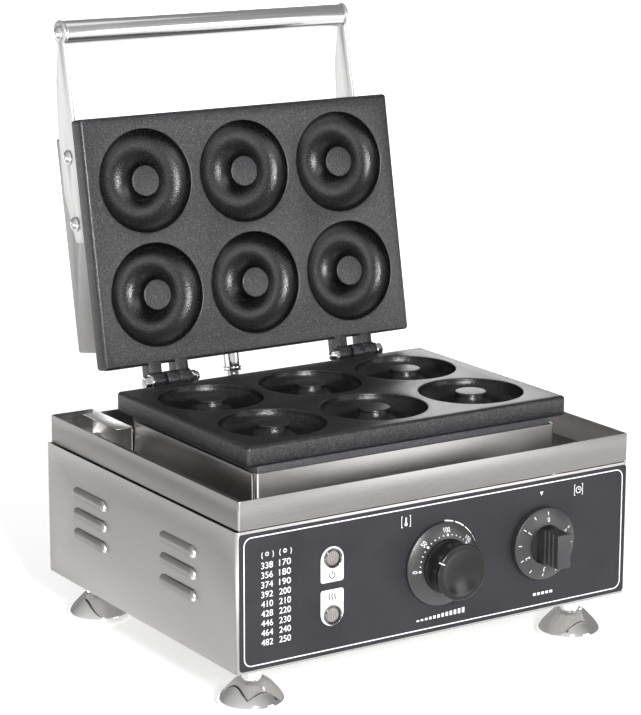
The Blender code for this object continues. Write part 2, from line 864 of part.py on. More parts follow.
# A bent heating rod against the back of a plate, with its clamp plate and insulation board
def make_heater(word, parent, shift, plate_back_z, away, stop_z, half_width, front_y, back_y):
    rod_z = plate_back_z + away * (seat_gap + heater_radius)
    heater_side_x = half_width - heater_side_margin
    clamp_half_width = half_width - clamp_side_margin
    corners = [(-heater_lead_x, heater_lead_y), (-heater_lead_x, heater_back_y),
               (-heater_side_x, heater_back_y), (-heater_side_x, heater_front_y),
               (heater_side_x, heater_front_y), (heater_side_x, heater_back_y),
               (heater_lead_x, heater_back_y), (heater_lead_x, heater_lead_y)]
    path = rounded_path([(x, y + shift) for x, y in corners], heater_bend)
    tube(word + "_heater", [(x, y, rod_z) for x, y in path], heater_radius, parent, "heater_sheath", 1)
    clamp_near = rod_z + away * (heater_radius + seat_gap)
    clamp_far = clamp_near + away * clamp_thickness
    block(word + "_heater_clamp",
          (-clamp_half_width, clamp_front_y + shift, min(clamp_near, clamp_far)),
          (clamp_half_width, clamp_back_y + shift, max(clamp_near, clamp_far)),
          parent, "inner_steel")
    board_near = clamp_far + away * seat_gap
    board_far = stop_z - away * seat_gap
    block(word + "_insulation",
          (-half_width + insulation_inset, front_y + insulation_inset + shift, min(board_near, board_far)),
          (half_width - insulation_inset, back_y - insulation_inset + shift, max(board_near, board_far)),
          parent, "insulation_board")


def make_lid_cover():
    low = (-cover_half_width, cover_front_y - hinge_y, cover_low - hinge_z)
    high = (cover_half_width, cover_back_y - hinge_y, cover_low - hinge_z + cover_height)
    cover = open_box("lid_cover", low, high, tray_wall, cover_bend, lid_frame, "brushed_steel", False)
    for place in arm_screw_places():
        cut(cover, rod("cover_screw_hole", screw_shank_radius + seat_gap, -casing_half, casing_half,
                       lid_frame, (0, *place), (0, math.pi / 2, 0), sides=12))
    cut(cover, rod("ferrule_hole", ferrule_radius + seat_gap, -tray_wall - cut_overrun, cut_overrun,
                   lid_frame, ferrule_place(), backwards))
    smooth(cover)


def arm_screw_places():
    height = lid_face + arm_screw_height - hinge_z
    return [(arm_screw_front_y - hinge_y, height), (arm_screw_back_y - hinge_y, height)]


def bar_place():
    return (bar_y - hinge_y, lid_face + bar_height - hinge_z)


def ferrule_place():
    return (0, cover_back_y - hinge_y, lid_face + ferrule_height - hinge_z)


# One arm seen from its side: a wide root on the cover that narrows to the bar
def arm_outline():
    corner = arm_root_corner
    quarter = math.pi / 2
    low_rise = math.atan2(arm_neck_low - bar_height, arm_neck_y - bar_y)
    high_rise = math.atan2(arm_neck_high - bar_height, arm_neck_y - bar_y)
    points = [(arm_root_front_y, arm_root_low)]
    points += arc((arm_root_back_y - corner, arm_root_low + corner), corner, -quarter, 0, 3)
    points += arc((arm_root_back_y - corner, arm_root_back_high - corner), corner, 0, quarter * 0.75, 3)
    points.append((arm_root_shoulder_y, arm_root_high))
    points.append((arm_root_front_y, arm_root_high - sheet_wall / 2))
    points.append((arm_mid_y, arm_mid_high))
    points += arc((bar_y, bar_height), arm_end_radius, high_rise, low_rise + 2 * math.pi, 12)
    return [(y - hinge_y, height + lid_face - hinge_z) for y, height in points]


def make_arms():
    sideways = (math.pi / 2, 0, math.pi / 2)
    for side, word in ((-1, "left"), (1, "right")):
        middle_x = side * (cover_half_width + seat_gap + arm_thickness / 2)
        arm = outline("arm_" + word, arm_outline(), arm_thickness, lid_frame, (middle_x, 0, 0),
                      sideways, "brushed_steel")
        for place in arm_screw_places() + [bar_place()]:
            cut(arm, rod("arm_screw_hole", screw_shank_radius + seat_gap, -arm_thickness, arm_thickness,
                         lid_frame, (middle_x, *place), (0, math.pi / 2, 0), sides=12))
        head_x = side * (cover_half_width + seat_gap + arm_thickness + seat_gap)
        spots = [("front", arm_screw_places()[0]), ("back", arm_screw_places()[1]), ("bar", bar_place())]
        for spot, place in spots:
            turned("arm_screw_" + spot + "_" + word, screw_profile(), lid_frame, (head_x, *place),
                   (0, side * math.pi / 2, 0), "chrome", steps=12)


def screw_profile():
    dome = []
    for step in range(3):
        turn = math.pi / 2 * (1 - step / 3)
        dome.append((screw_head_radius * math.cos(turn), screw_head_height * math.sin(turn)))
    edge = screw_head_height / 4
    return dome + [(screw_head_radius, edge), (screw_head_radius, 0), (screw_shank_radius, 0),
                   (screw_shank_radius, -screw_shank_length), (0, -screw_shank_length)]


def make_handle_bar():
    half = cover_half_width
    bore = screw_shank_radius + seat_gap
    top = [(0, half - bar_bore_depth), (bore, half - bar_bore_depth), (bore, half),
           (bar_radius - bar_edge, half), (bar_radius, half - bar_edge)]
    profile = top + [(radius, -height) for radius, height in reversed(top)]
    turned("handle_bar", profile, lid_frame, (0, *bar_place()), (0, math.pi / 2, 0), "bar_chrome")


def make_hinge_hardware():
    ear_outer = knuckle_inner_x + 3 * knuckle_width + 2 * knuckle_space
    seat = seat_gap + washer_thickness
    for side, word in ((-1, "left"), (1, "right")):
        outwards = (0, side * math.pi / 2, 0)
        shank_low = knuckle_inner_x - ear_outer - nut_bore_depth
        bolt = rod("hinge_bolt_" + word, bolt_head_radius, seat, seat + bolt_head_height, lid_frame,
                   (side * ear_outer, 0, 0), outwards, "chrome", 6)
        join(bolt, rod("bolt_washer", washer_radius, seat_gap, seat + seat_gap, lid_frame,
                       (side * ear_outer, 0, 0), outwards, sides=20))
        join(bolt, rod("bolt_shank", bolt_radius, shank_low, seat_gap * 2, lid_frame,
                       (side * ear_outer, 0, 0), outwards))
        inwards = (0, -side * math.pi / 2, 0)
        nut = rod("hinge_nut_" + word, bolt_head_radius, seat_gap, nut_hex_height, lid_frame,
                  (side * knuckle_inner_x, 0, 0), inwards, "chrome", 6)
        join(nut, turned("nut_dome", dome_profile(), lid_frame, (side * knuckle_inner_x, 0, 0), inwards,
                         steps=16))
        cut(nut, rod("nut_bore", bolt_radius + bolt_clearance, -cut_overrun, nut_bore_depth + seat_gap,
                     lid_frame, (side * knuckle_inner_x, 0, 0), inwards))


def dome_profile():
    profile = []
    for step in range(5):
        turn = math.pi / 2 * (1 - step / 4)
        profile.append((nut_dome_radius * math.cos(turn), nut_hex_height + nut_dome_radius * math.sin(turn)))
    return profile + [(nut_dome_radius, nut_hex_height / 2), (0, nut_hex_height / 2)]


def make_conduit():
    ring_low = ferrule_length - ferrule_ring_width
    profile = [(ferrule_bore_radius, ferrule_length), (ferrule_ring_radius, ferrule_length),
               (ferrule_ring_radius, ring_low), (ferrule_radius, ring_low),
               (ferrule_radius, seat_gap + ferrule_flange_thickness),
               (ferrule_flange_radius, seat_gap + ferrule_flange_thickness),
               (ferrule_flange_radius, seat_gap), (ferrule_radius, seat_gap),
               (ferrule_radius, -gland_inside), (ferrule_bore_radius, -gland_inside)]
    turned("conduit_ferrule", profile, lid_frame, ferrule_place(), backwards, "chrome", ring=True)
    route = [(y + casing_back_y, z) for y, z in hose_lower_route] + hose_upper_route
    tube("conduit_hose", [(0, y, z) for y, z in smooth_route(route, 3)], hose_radius, base_frame,
         "hose_metal", 3)
    profile = [(gland_bore_radius, gland_reach), (gland_body_radius, gland_reach),
               (gland_body_radius, gland_nut_height), (gland_nut_radius, gland_nut_height),
               (gland_nut_radius, seat_gap), (gland_body_radius, seat_gap),
               (gland_body_radius, -sheet_wall - gland_inside), (gland_bore_radius, -sheet_wall - gland_inside)]
    turned("conduit_gland", profile, back_frame, (0, conduit_gland_height, 0), finish="chrome", ring=True)


def make_mains_gland():
    rim = mains_gland_radius + gland_nut_height / 2
    profile = [(mains_gland_bore, mains_gland_reach), (mains_gland_radius * 0.8, mains_gland_reach),
               (mains_gland_radius, gland_nut_height), (rim, gland_nut_height), (rim, seat_gap),
               (mains_gland_radius, seat_gap), (mains_gland_radius, -sheet_wall - gland_inside),
               (mains_gland_bore, -sheet_wall - gland_inside)]
    turned("mains_gland", profile, back_frame, (-mains_gland_x, mains_gland_height, 0),
           finish="inner_plastic", ring=True)


def make_thermostat():
    hole = spindle_radius + 2 * spindle_clearance
    profile = [(hole, ring_face), (scale_ring_radius - scale_ring_edge, ring_face),
               (scale_ring_radius, ring_face - scale_ring_edge), (scale_ring_radius, overlay_face + seat_gap),
               (hole, overlay_face + seat_gap)]
    turned("scale_ring", profile, panel_frame, (thermostat_x, thermostat_height, 0),
           finish="knob_plastic", steps=36, ring=True)
    knob_axis = add_empty("thermostat_knob_axis", (thermostat_x, thermostat_height, 0),
                          (0, 0, knob_rest_angle), panel_frame)
    bore = spindle_radius + spindle_clearance
    bore_top = knob_low + spindle_in_knob + seat_gap
    dish = knob_face_height - knob_dish_depth
    profile = [(0, dish), (knob_dish_radius / 2, dish + knob_dish_depth / 5),
               (knob_dish_radius, knob_face_height - knob_dish_depth / 5),
               (knob_dish_radius + knob_rim, knob_face_height),
               (knob_face_radius - knob_rim, knob_face_height),
               (knob_face_radius - knob_rim / 4, knob_face_height - knob_rim / 4),
               (knob_face_radius, knob_face_height - knob_rim),
               (knob_waist_radius, knob_waist_height), (knob_base_radius, knob_low + knob_rim),
               (knob_base_radius, knob_low), (bore, knob_low), (bore, bore_top), (0, bore_top)]
    turned("thermostat_knob", profile, knob_axis, finish="knob_plastic", steps=30)
    rod("thermostat_spindle", spindle_radius, -sheet_wall - seat_gap - spindle_in_body,
        knob_low + spindle_in_knob, knob_axis, finish="chrome")
    half = thermostat_body_half
    switch_body("thermostat_body", thermostat_x, thermostat_height, half, half, thermostat_body_depth)


def switch_body(name, x, height, half_width, half_height, depth):
    front = -sheet_wall - seat_gap
    body = block(name, (x - half_width, height - half_height, front - depth),
                 (x + half_width, height + half_height, front), panel_frame, "inner_plastic",
                 casing_bend)
    cut(body, rod(name + "_bore", spindle_radius + spindle_clearance, front - spindle_in_body - seat_gap,
                  cut_overrun, panel_frame, (x, height, 0)))


# The grip seen from the front: an upright bar with grooves down both sides
def grip_outline():
    right = []
    for groove in (-1, 0, 1):
        middle = groove * grip_groove_pitch
        half = grip_groove_width / 2
        right += [(grip_half_width, middle - half), (grip_half_width - grip_groove_depth, middle),
                  (grip_half_width, middle + half)]
    corner = grip_corner
    top = [(grip_half_width, grip_half_height - corner), (grip_half_width - corner, grip_half_height),
           (-grip_half_width + corner, grip_half_height), (-grip_half_width, grip_half_height - corner)]
    left = [(-x, -y) for x, y in right]
    bottom = [(-x, -y) for x, y in top]
    return right + top + left + bottom


def make_timer():
    knob_axis = add_empty("timer_knob_axis", (timer_x, timer_height, 0), parent=panel_frame)
    bore = spindle_radius + spindle_clearance
    bore_top = dial_low + spindle_in_knob + seat_gap
    face = dial_low + dial_thickness
    recess = face - dial_recess_depth
    profile = [(0, recess), (dial_recess_radius, recess), (dial_recess_radius, face),
               (dial_face_radius, face), (dial_radius, face - (dial_radius - dial_face_radius)),
               (dial_radius, dial_low), (0, dial_low)]
    dial = turned("timer_knob", profile, knob_axis, finish="knob_plastic", steps=30)
    grip_low = recess - dial_recess_depth / 3
    grip = outline("timer_grip", grip_outline(), grip_face_height - grip_low, knob_axis,
                   (0, 0, (grip_face_height + grip_low) / 2))
    join(dial, grip)
    cut(dial, rod("timer_knob_bore", bore, dial_low - cut_overrun, bore_top, knob_axis))
    rod("timer_spindle", spindle_radius, -sheet_wall - seat_gap - spindle_in_body,
        dial_low + spindle_in_knob, knob_axis, finish="chrome")
    switch_body("timer_body", timer_x, timer_height, timer_body_half_width, timer_body_half_height,
                timer_body_depth)


def make_lamp(word, height):
    low = overlay_face + seat_gap
    top = low + bezel_thickness
    profile = [(bezel_inner_radius, top), (bezel_radius - bezel_edge, top), (bezel_radius, top - bezel_edge),
               (bezel_radius, low), (lamp_body_radius, low), (lamp_body_radius, -lamp_length),
               (bezel_inner_radius, -lamp_length)]
    place = (lamp_x, height, 0)
    turned(word + "_bezel", profile, panel_frame, place, finish="chrome", ring=True)
    radius = bezel_inner_radius - seat_gap
    rim = top - lens_recess - lens_crown
    profile = [(0, rim + lens_crown), (radius / 2, rim + lens_crown * 3 / 4), (radius, rim),
               (radius, -lamp_length), (0, -lamp_length)]
    turned(word + "_lens", profile, panel_frame, place, finish="lens_plastic")


def make_terminal_block():
    low_z = casing_low + sheet_wall + seat_gap
    terminal = block("terminal_block",
                     (terminal_x - terminal_half_width, terminal_y - terminal_half_depth, low_z),
                     (terminal_x + terminal_half_width, terminal_y + terminal_half_depth,
                      low_z + terminal_height), base_frame, "terminal_ceramic", sheet_wall, 1)
    for index in range(terminal_bores):
        x = terminal_x + (index - (terminal_bores - 1) / 2) * terminal_bore_pitch
        top = low_z + terminal_height
        cut(terminal, rod("terminal_bore", terminal_bore_radius, top - terminal_bore_depth,
                          top + cut_overrun, base_frame, (x, terminal_y, 0), sides=12))


def make_feet():
    top = casing_low - seat_gap
    stud_top = casing_low + foot_stud_length
    bell_drop = foot_bell_height - foot_rim_height
    bell_spread = foot_rim_radius - foot_stem_radius
    profile = [(0, stud_top), (foot_stud_radius, stud_top), (foot_stud_radius, top),
               (foot_stem_radius, top), (foot_stem_radius, foot_bell_height)]
    shares = ((0.18, 0.06), (0.42, 0.24), (0.68, 0.50), (0.90, 0.80))
    for out_share, down_share in shares:
        profile.append((foot_stem_radius + bell_spread * out_share, foot_bell_height - bell_drop * down_share))
    profile += [(foot_rim_radius, foot_rim_height), (foot_rim_radius, foot_rim_height * 0.6),
                (foot_base_radius, 0), (0, 0)]
    for x, x_word in ((-foot_x, "left"), (foot_x, "right")):
        for y, y_word in ((foot_front_y, "front"), (foot_back_y, "back")):
            turned("foot_" + y_word + "_" + x_word, profile, base_frame, (x, y, 0), finish="chrome")


def make_base_screws():
    head_top = casing_low - seat_gap
    head_low = head_top - base_screw_head_height
    tip = casing_low + base_screw_length
    profile = [(0, tip), (base_screw_shank_radius, tip), (base_screw_shank_radius, head_top),
               (base_screw_head_radius, head_top), (base_screw_head_radius * 0.8, head_low), (0, head_low)]
    for index, (x, y) in enumerate(base_screw_places()):
        turned("base_screw_" + str(index + 1), profile, base_frame, (x, y, 0), finish="chrome", steps=10)


clear_scene()
parts = new_collection("mini_donut_maker")
cutters = new_collection("cutters")
base_frame = add_empty("base_frame", (0, casing_centre_y, 0))
panel_frame = add_empty("panel_frame", (0, casing_front_y, casing_low), (math.pi / 2, 0, 0), base_frame)
back_frame = add_empty("back_frame", (0, casing_back_y, 0), (math.pi / 2, 0, math.pi), base_frame)
lid_frame = add_empty("lid_frame", (0, hinge_y, hinge_z), (-lid_open_angle, 0, 0), base_frame)
backwards = (-math.pi / 2, 0, 0)

make_casing_wrap()
make_front_overlay()
make_base_plate()
make_back_panel()
make_top_deck()
make_drip_tray()
make_well_frame()
make_heater_pan()
make_lower_plate()
make_heater("lower", base_frame, 0, plate_low, -1, pan_low + tray_wall, pan_half - tray_wall,
            pan_front_y, pan_back_y)
make_upper_plate()
make_heater("upper", lid_frame, -hinge_y, lid_face + plate_thickness - hinge_z, 1,
            cover_low - hinge_z + cover_height - tray_wall, cover_half_width - tray_wall,
            cover_front_y, cover_back_y)
make_lid_cover()
make_arms()
make_handle_bar()
make_hinge_hardware()
make_conduit()
make_mains_gland()
make_thermostat()
make_timer()
make_lamp("power", power_lamp_height)
make_lamp("heat", heat_lamp_height)
make_terminal_block()
make_feet()
make_base_screws()
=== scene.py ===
import math

import bpy
from mathutils import Euler, Matrix, Vector


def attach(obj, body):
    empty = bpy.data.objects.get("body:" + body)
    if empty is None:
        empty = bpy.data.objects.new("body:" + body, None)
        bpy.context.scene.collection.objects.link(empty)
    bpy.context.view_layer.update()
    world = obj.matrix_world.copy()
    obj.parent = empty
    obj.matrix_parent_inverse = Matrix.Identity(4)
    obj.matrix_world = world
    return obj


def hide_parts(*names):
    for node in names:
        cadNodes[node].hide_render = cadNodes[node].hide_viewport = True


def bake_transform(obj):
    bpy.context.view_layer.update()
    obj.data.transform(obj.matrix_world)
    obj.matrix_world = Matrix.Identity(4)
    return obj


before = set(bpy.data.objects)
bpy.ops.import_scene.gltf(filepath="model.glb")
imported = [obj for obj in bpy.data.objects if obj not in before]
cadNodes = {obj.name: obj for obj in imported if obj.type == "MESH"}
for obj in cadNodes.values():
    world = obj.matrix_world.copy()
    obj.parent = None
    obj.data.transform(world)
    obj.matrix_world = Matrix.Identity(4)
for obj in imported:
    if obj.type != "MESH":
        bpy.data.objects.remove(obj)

print("frame loaded")
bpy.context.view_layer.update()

# Where each group of pieces is drawn from: the casing, its front wall, its back wall and the open lid
groups = {
    "casingCentre": (0, -0.0175, 0),
    "frontWall": (0, -0.1725, 0.040),
    "backWall": (0, 0.1375, 0),
    "hinge": (0, 0.0921, 0.2047),
    "lidOpen": 100.8,
}
basePlace = Matrix.Translation(groups["casingCentre"])
frontPlace = Matrix.Translation(groups["frontWall"]) @ Matrix.Rotation(math.pi / 2, 4, "X")
backPlace = Matrix.Translation(groups["backWall"]) @ Euler((math.pi / 2, 0, math.pi)).to_matrix().to_4x4()
lidPlace = Matrix.Translation(groups["hinge"]) @ Matrix.Rotation(-math.radians(groups["lidOpen"]), 4, "X")


# Camera, floor and light

cameraSettings = {
    "place": (-1.15995, -1.80062, 0.73837),
    "turn": (76.6815, -0.1148, -32.7008),
    "lens": 148.30,
    "sensor": 36,
    "shift": (0.0005, -0.0019),
    "reach": 50,
}


def makeCamera(settings):
    camera = bpy.data.objects.new("camera", bpy.data.cameras.new("camera"))
    bpy.context.scene.collection.objects.link(camera)
    camera.location = settings["place"]
    camera.rotation_euler = [math.radians(turn) for turn in settings["turn"]]
    camera.data.sensor_fit = "HORIZONTAL"
    camera.data.sensor_width = settings["sensor"]
    camera.data.lens = settings["lens"]
    camera.data.shift_x, camera.data.shift_y = settings["shift"]
    camera.data.clip_end = settings["reach"]
    bpy.context.scene.camera = camera


studio = {
    "backdrop": 1.0,
    "roomDark": 0.28,
    "roomLight": 0.80,
    "roomTurn": (-0.75, -0.60, 0.10),
    "roomFrom": -0.2,
    "floorSize": 14,
    "floorHeight": -0.0002,
    "farGlow": 0.60,
    "cardHeight": 0.002,
    "dimCard": 0.06,
    "paleCard": 0.90,
    "paleFrom": 1.0,
    "floorGlow": (0.50, 0.50),
    "glowReach": (0.33, 0.60),
    "farReach": (0.80, 2.50),
    "cards": {
        "dark": {"place": (-0.72, 0.45), "size": (0.44, 1.30), "turn": 0, "glow": 0.38},
        "middle": {"place": (-0.43, 0.35), "size": (0.14, 1.10), "turn": 0, "glow": 0.66},
        "front": {"place": (0.40, -0.72), "size": (1.30, 0.95), "turn": 0, "glow": 1.0},
        "near": {"place": (-0.285, 0.35), "size": (0.15, 1.10), "turn": 0, "glow": 0.86},
        "bright": {"place": (-0.62, -0.42), "size": (0.42, 0.70), "turn": 32, "glow": 3.0},
    },
    "lamps": {
        "overhead": {"place": (0.1, -0.1, 2.6), "aim": (0, 0, 0.2), "size": (1.6, 1.6), "power": 6},
        "frontRight": {"place": (1.20, -2.00, 0.48), "aim": (0, 0, 0.3), "size": (0.9, 0.8), "power": 7.5},
        "front": {"place": (-0.75, -2.05, 0.95), "aim": (0, 0, 0.35), "size": (0.22, 0.40), "power": 52},
        "backRight": {"place": (1.35, 1.95, 0.85), "aim": (0.1, 0, 0.2), "size": (0.9, 0.6), "power": 7},
    },
}


# The room is darker to the back left and brighter to the front right, and the backdrop itself is plain white
def makeRoom(settings):
    world = bpy.data.worlds.new("studio")
    bpy.context.scene.world = world
    world.use_nodes = True
    tree = world.node_tree
    background = tree.nodes["Background"]
    background.inputs["Color"].default_value = (1, 1, 1, 1)
    direction = tree.nodes.new("ShaderNodeTexCoord")
    facing = tree.nodes.new("ShaderNodeVectorMath")
    facing.operation = "DOT_PRODUCT"
    facing.inputs[1].default_value = settings["roomTurn"]
    spread = tree.nodes.new("ShaderNodeMapRange")
    spread.inputs["From Min"].default_value = settings["roomFrom"]
    spread.inputs["To Min"].default_value = settings["roomDark"]
    spread.inputs["To Max"].default_value = settings["roomLight"]
    seen = tree.nodes.new("ShaderNodeLightPath")
    choice = tree.nodes.new("ShaderNodeMix")
    choice.inputs["B"].default_value = settings["backdrop"]
    tree.links.new(direction.outputs["Generated"], facing.inputs[0])
    tree.links.new(facing.outputs["Value"], spread.inputs["Value"])
    tree.links.new(seen.outputs["Is Camera Ray"], choice.inputs["Factor"])
    tree.links.new(spread.outputs["Result"], choice.inputs["A"])
    tree.links.new(choice.outputs["Result"], background.inputs["Strength"])


def makeLamps(lamps):
    for name, lamp in lamps.items():
        light = bpy.data.lights.new(name, "AREA")
        light.shape = "RECTANGLE"
        light.size, light.size_y = lamp["size"]
        light.energy = lamp["power"]
        holder = bpy.data.objects.new(name, light)
        bpy.context.scene.collection.objects.link(holder)
        holder.location = lamp["place"]
        aim = Vector(lamp["aim"]) - Vector(lamp["place"])
        holder.rotation_euler = aim.to_track_quat("-Z", "Y").to_euler()
        holder.visible_camera = False


makeCamera(cameraSettings)
makeRoom(studio)
makeLamps(studio["lamps"])
bpy.context.scene.view_settings.view_transform = "Standard"
print("camera and light ready")


# Shader maths

# A socket that takes part in sums
class Wire:
    def __init__(self, graph, socket):
        self.graph = graph
        self.socket = socket

    def sum(self, operation, *values):
        return self.graph.node("ShaderNodeMath", {"operation": operation}, dict(enumerate(values)))

    def __add__(self, other):
        return self.sum("ADD", self, other)

    def __mul__(self, other):
        return self.sum("MULTIPLY", self, other)

    __radd__ = __add__
    __rmul__ = __mul__

    def clamped(self):
        return self.graph.node("ShaderNodeClamp", {}, {"Value": self})


class Graph:
    def __init__(self, name):
        self.material = bpy.data.materials.new(name)
        self.material.use_nodes = True
        self.tree = self.material.node_tree
        self.shader = self.tree.nodes["Principled BSDF"]

    def node(self, kind, settings, inputs, output=0):
        made = self.tree.nodes.new(kind)
        for key, value in settings.items():
            setattr(made, key, value)
        for key, value in inputs.items():
            self.feed(made.inputs[key], value)
        return Wire(self, made.outputs[output])

    def feed(self, socket, value):
        if isinstance(value, Wire):
            self.tree.links.new(value.socket, socket)
        else:
            socket.default_value = value

    def points(self, scale=(1, 1, 1)):
        coordinates = self.node("ShaderNodeTexCoord", {}, {}, "Object")
        return self.node("ShaderNodeMapping", {}, {"Vector": coordinates, "Scale": scale})

    def noise(self, scale, detail, roughness, stretch=(1, 1, 1), distortion=0):
        return self.node("ShaderNodeTexNoise", {}, {
            "Vector": self.points(stretch), "Scale": scale, "Detail": detail,
            "Roughness": roughness, "Distortion": distortion}, "Fac")

    def between(self, factor, low, high):
        colours = {0: factor, 6: (*low, 1), 7: (*high, 1)}
        return self.node("ShaderNodeMix", {"data_type": "RGBA"}, colours, 2)

    def span(self, value, fromLow, fromHigh, low, high):
        return self.node("ShaderNodeMapRange", {}, {
            "Value": value, "From Min": fromLow, "From Max": fromHigh, "To Min": low, "To Max": high})

    def bump(self, height, strength, distance):
        return self.node("ShaderNodeBump", {}, {"Height": height, "Strength": strength, "Distance": distance})

    def finish(self, **values):
        names = {
            "colour": "Base Color", "roughness": "Roughness", "metallic": "Metallic", "normal": "Normal",
            "coat": "Coat Weight", "coatRoughness": "Coat Roughness", "specular": "Specular IOR Level",
            "sheen": "Sheen Weight", "emission": "Emission Color", "emissionStrength": "Emission Strength",
        }
        for key, value in values.items():
            if isinstance(value, tuple) and len(value) == 3:
                value = (*value, 1)
            self.feed(self.shader.inputs[names[key]], value)
        return self.material


# Finishes

# How deep the small dents of each kind of surface are
dents = {"metal": 0.0001, "coat": 0.0003, "plastic": 0.0002, "lens": 0.0003, "board": 0.0008, "ink": 0.00005}


def brushedMetal(name, look):
    graph = Graph(name)
    fine = graph.noise(1, 3, 0.6, look["grain"])
    broad = graph.noise(look["cloud"], 2, 0.5)
    streaks = graph.noise(1, 2, 0.5, [side * 0.3 for side in look["grain"]])
    mixture = fine * 0.4 + streaks * 0.25 + broad * 0.35
    tone = graph.span(mixture, 0.36, 0.64, 0, 1)
    return graph.finish(
        colour=graph.between(tone, look["dark"], look["light"]),
        metallic=1.0,
        roughness=graph.span(mixture, 0.35, 0.65, look["smooth"], look["rough"]),
        normal=graph.bump(fine, look["bump"], dents["metal"]))


def bareMetal(name, look):
    graph = Graph(name)
    smudge = graph.noise(look["cloud"], 4, 0.6)
    fine = graph.noise(look["fine"], 2, 0.5)
    return graph.finish(
        colour=graph.between(smudge, look["dark"], look["light"]),
        metallic=1.0,
        roughness=graph.span(smudge * 0.7 + fine * 0.3, 0.3, 0.7, look["smooth"], look["rough"]),
        normal=graph.bump(fine, look["bump"], dents["metal"]))


# Specks show where the noise passes the first share, and are full at the second
speckShares = (0.50, 0.68)


def speckledCoat(name, look):
    graph = Graph(name)
    grain = graph.noise(look["speckle"], 2, 0.6)
    coarse = graph.noise(look["speckle"] * 0.45, 2, 0.5)
    broad = graph.noise(9, 2, 0.5)
    specks = graph.span(grain * 0.75 + coarse * 0.25, *speckShares, 0, 1).clamped()
    wear = graph.span(broad, 0.35, 0.65, -0.03, 0.03)
    return graph.finish(
        colour=graph.between(specks, look["dark"], look["light"]),
        metallic=look["metallic"],
        roughness=graph.span(specks, 0, 1, look["rough"], look["smooth"]) + wear,
        specular=look["specular"],
        normal=graph.bump(grain, look["bump"], dents["coat"]))


def mouldedPlastic(name, look):
    graph = Graph(name)
    texture = graph.noise(look["grain"], 3, 0.6)
    broad = graph.noise(25, 2, 0.5)
    return graph.finish(
        colour=graph.between(texture * 0.5 + broad * 0.5, look["dark"], look["light"]),
        roughness=graph.span(texture * 0.4 + broad * 0.6, 0.35, 0.65, look["smooth"], look["rough"]),
        specular=look.get("specular", 0.5),
        coat=look.get("coat", 0.0),
        normal=graph.bump(texture, look["bump"], dents["plastic"]))


def ribbedLens(name, look):
    graph = Graph(name)
    ribs = graph.node("ShaderNodeTexWave", {"bands_direction": "X"}, {
        "Vector": graph.points(), "Scale": look["ribs"], "Distortion": look["waver"], "Detail": 2}, "Fac")
    cloud = graph.noise(look["cloud"], 2, 0.5)
    # The colour turns lighter and darker along the ribs: painted shade of the ribs, mixed with a random cloud
    # of tone
    tone = (ribs * 0.6 + cloud * 0.5).clamped()
    return graph.finish(
        colour=graph.between(tone, look["dark"], look["light"]),
        roughness=graph.span(tone, 0, 1, look["smooth"], look["rough"]),
        coat=look["coat"],
        coatRoughness=look["coatRoughness"],
        normal=graph.bump(ribs, look["bump"], dents["lens"]))


def fibreBoard(name, look):
    graph = Graph(name)
    fibres = graph.noise(1, 4, 0.7, look["grain"], distortion=look["waver"])
    tufts = graph.noise(look["tufts"], 3, 0.6)
    return graph.finish(
        colour=graph.between(fibres * 0.6 + tufts * 0.4, look["dark"], look["light"]),
        roughness=graph.span(fibres, 0.3, 0.7, look["smooth"], look["rough"]),
        sheen=look["sheen"],
        normal=graph.bump(fibres * 0.5 + tufts * 0.5, look["bump"], dents["board"]))


# Paint that glows faintly, more with distance from the object, so that the backdrop stays white
def glowingPaint(name, look):
    graph = Graph(name)
    mottle = graph.noise(look["grain"], 2, 0.5)
    coordinates = graph.node("ShaderNodeTexCoord", {}, {}, "Object")
    distance = graph.node("ShaderNodeVectorMath", {"operation": "LENGTH"}, {0: coordinates}, "Value")
    reach = graph.span(distance, *studio["glowReach"], *look["glow"])
    reach = reach + graph.span(distance, *studio["farReach"], 0, look.get("farGlow", 0))
    return graph.finish(
        colour=graph.between(mottle, look["dark"], look["light"]),
        roughness=graph.span(mottle, 0.3, 0.7, look["smooth"], look["rough"]),
        specular=0.2,
        emission=graph.node("ShaderNodeCombineColor", {}, {"Red": reach, "Green": reach, "Blue": reach}),
        emissionStrength=1.0)


inkLook = {"grain": 900, "darkShare": 0.93, "smooth": 0.42, "rough": 0.52, "bump": 0.05}


def printInk(name, tone):
    graph = Graph(name)
    mottle = graph.noise(inkLook["grain"], 2, 0.5)
    return graph.finish(
        colour=graph.between(mottle, [part * inkLook["darkShare"] for part in tone], tone),
        roughness=graph.span(mottle, 0.3, 0.7, inkLook["smooth"], inkLook["rough"]),
        normal=graph.bump(mottle, inkLook["bump"], dents["ink"]))


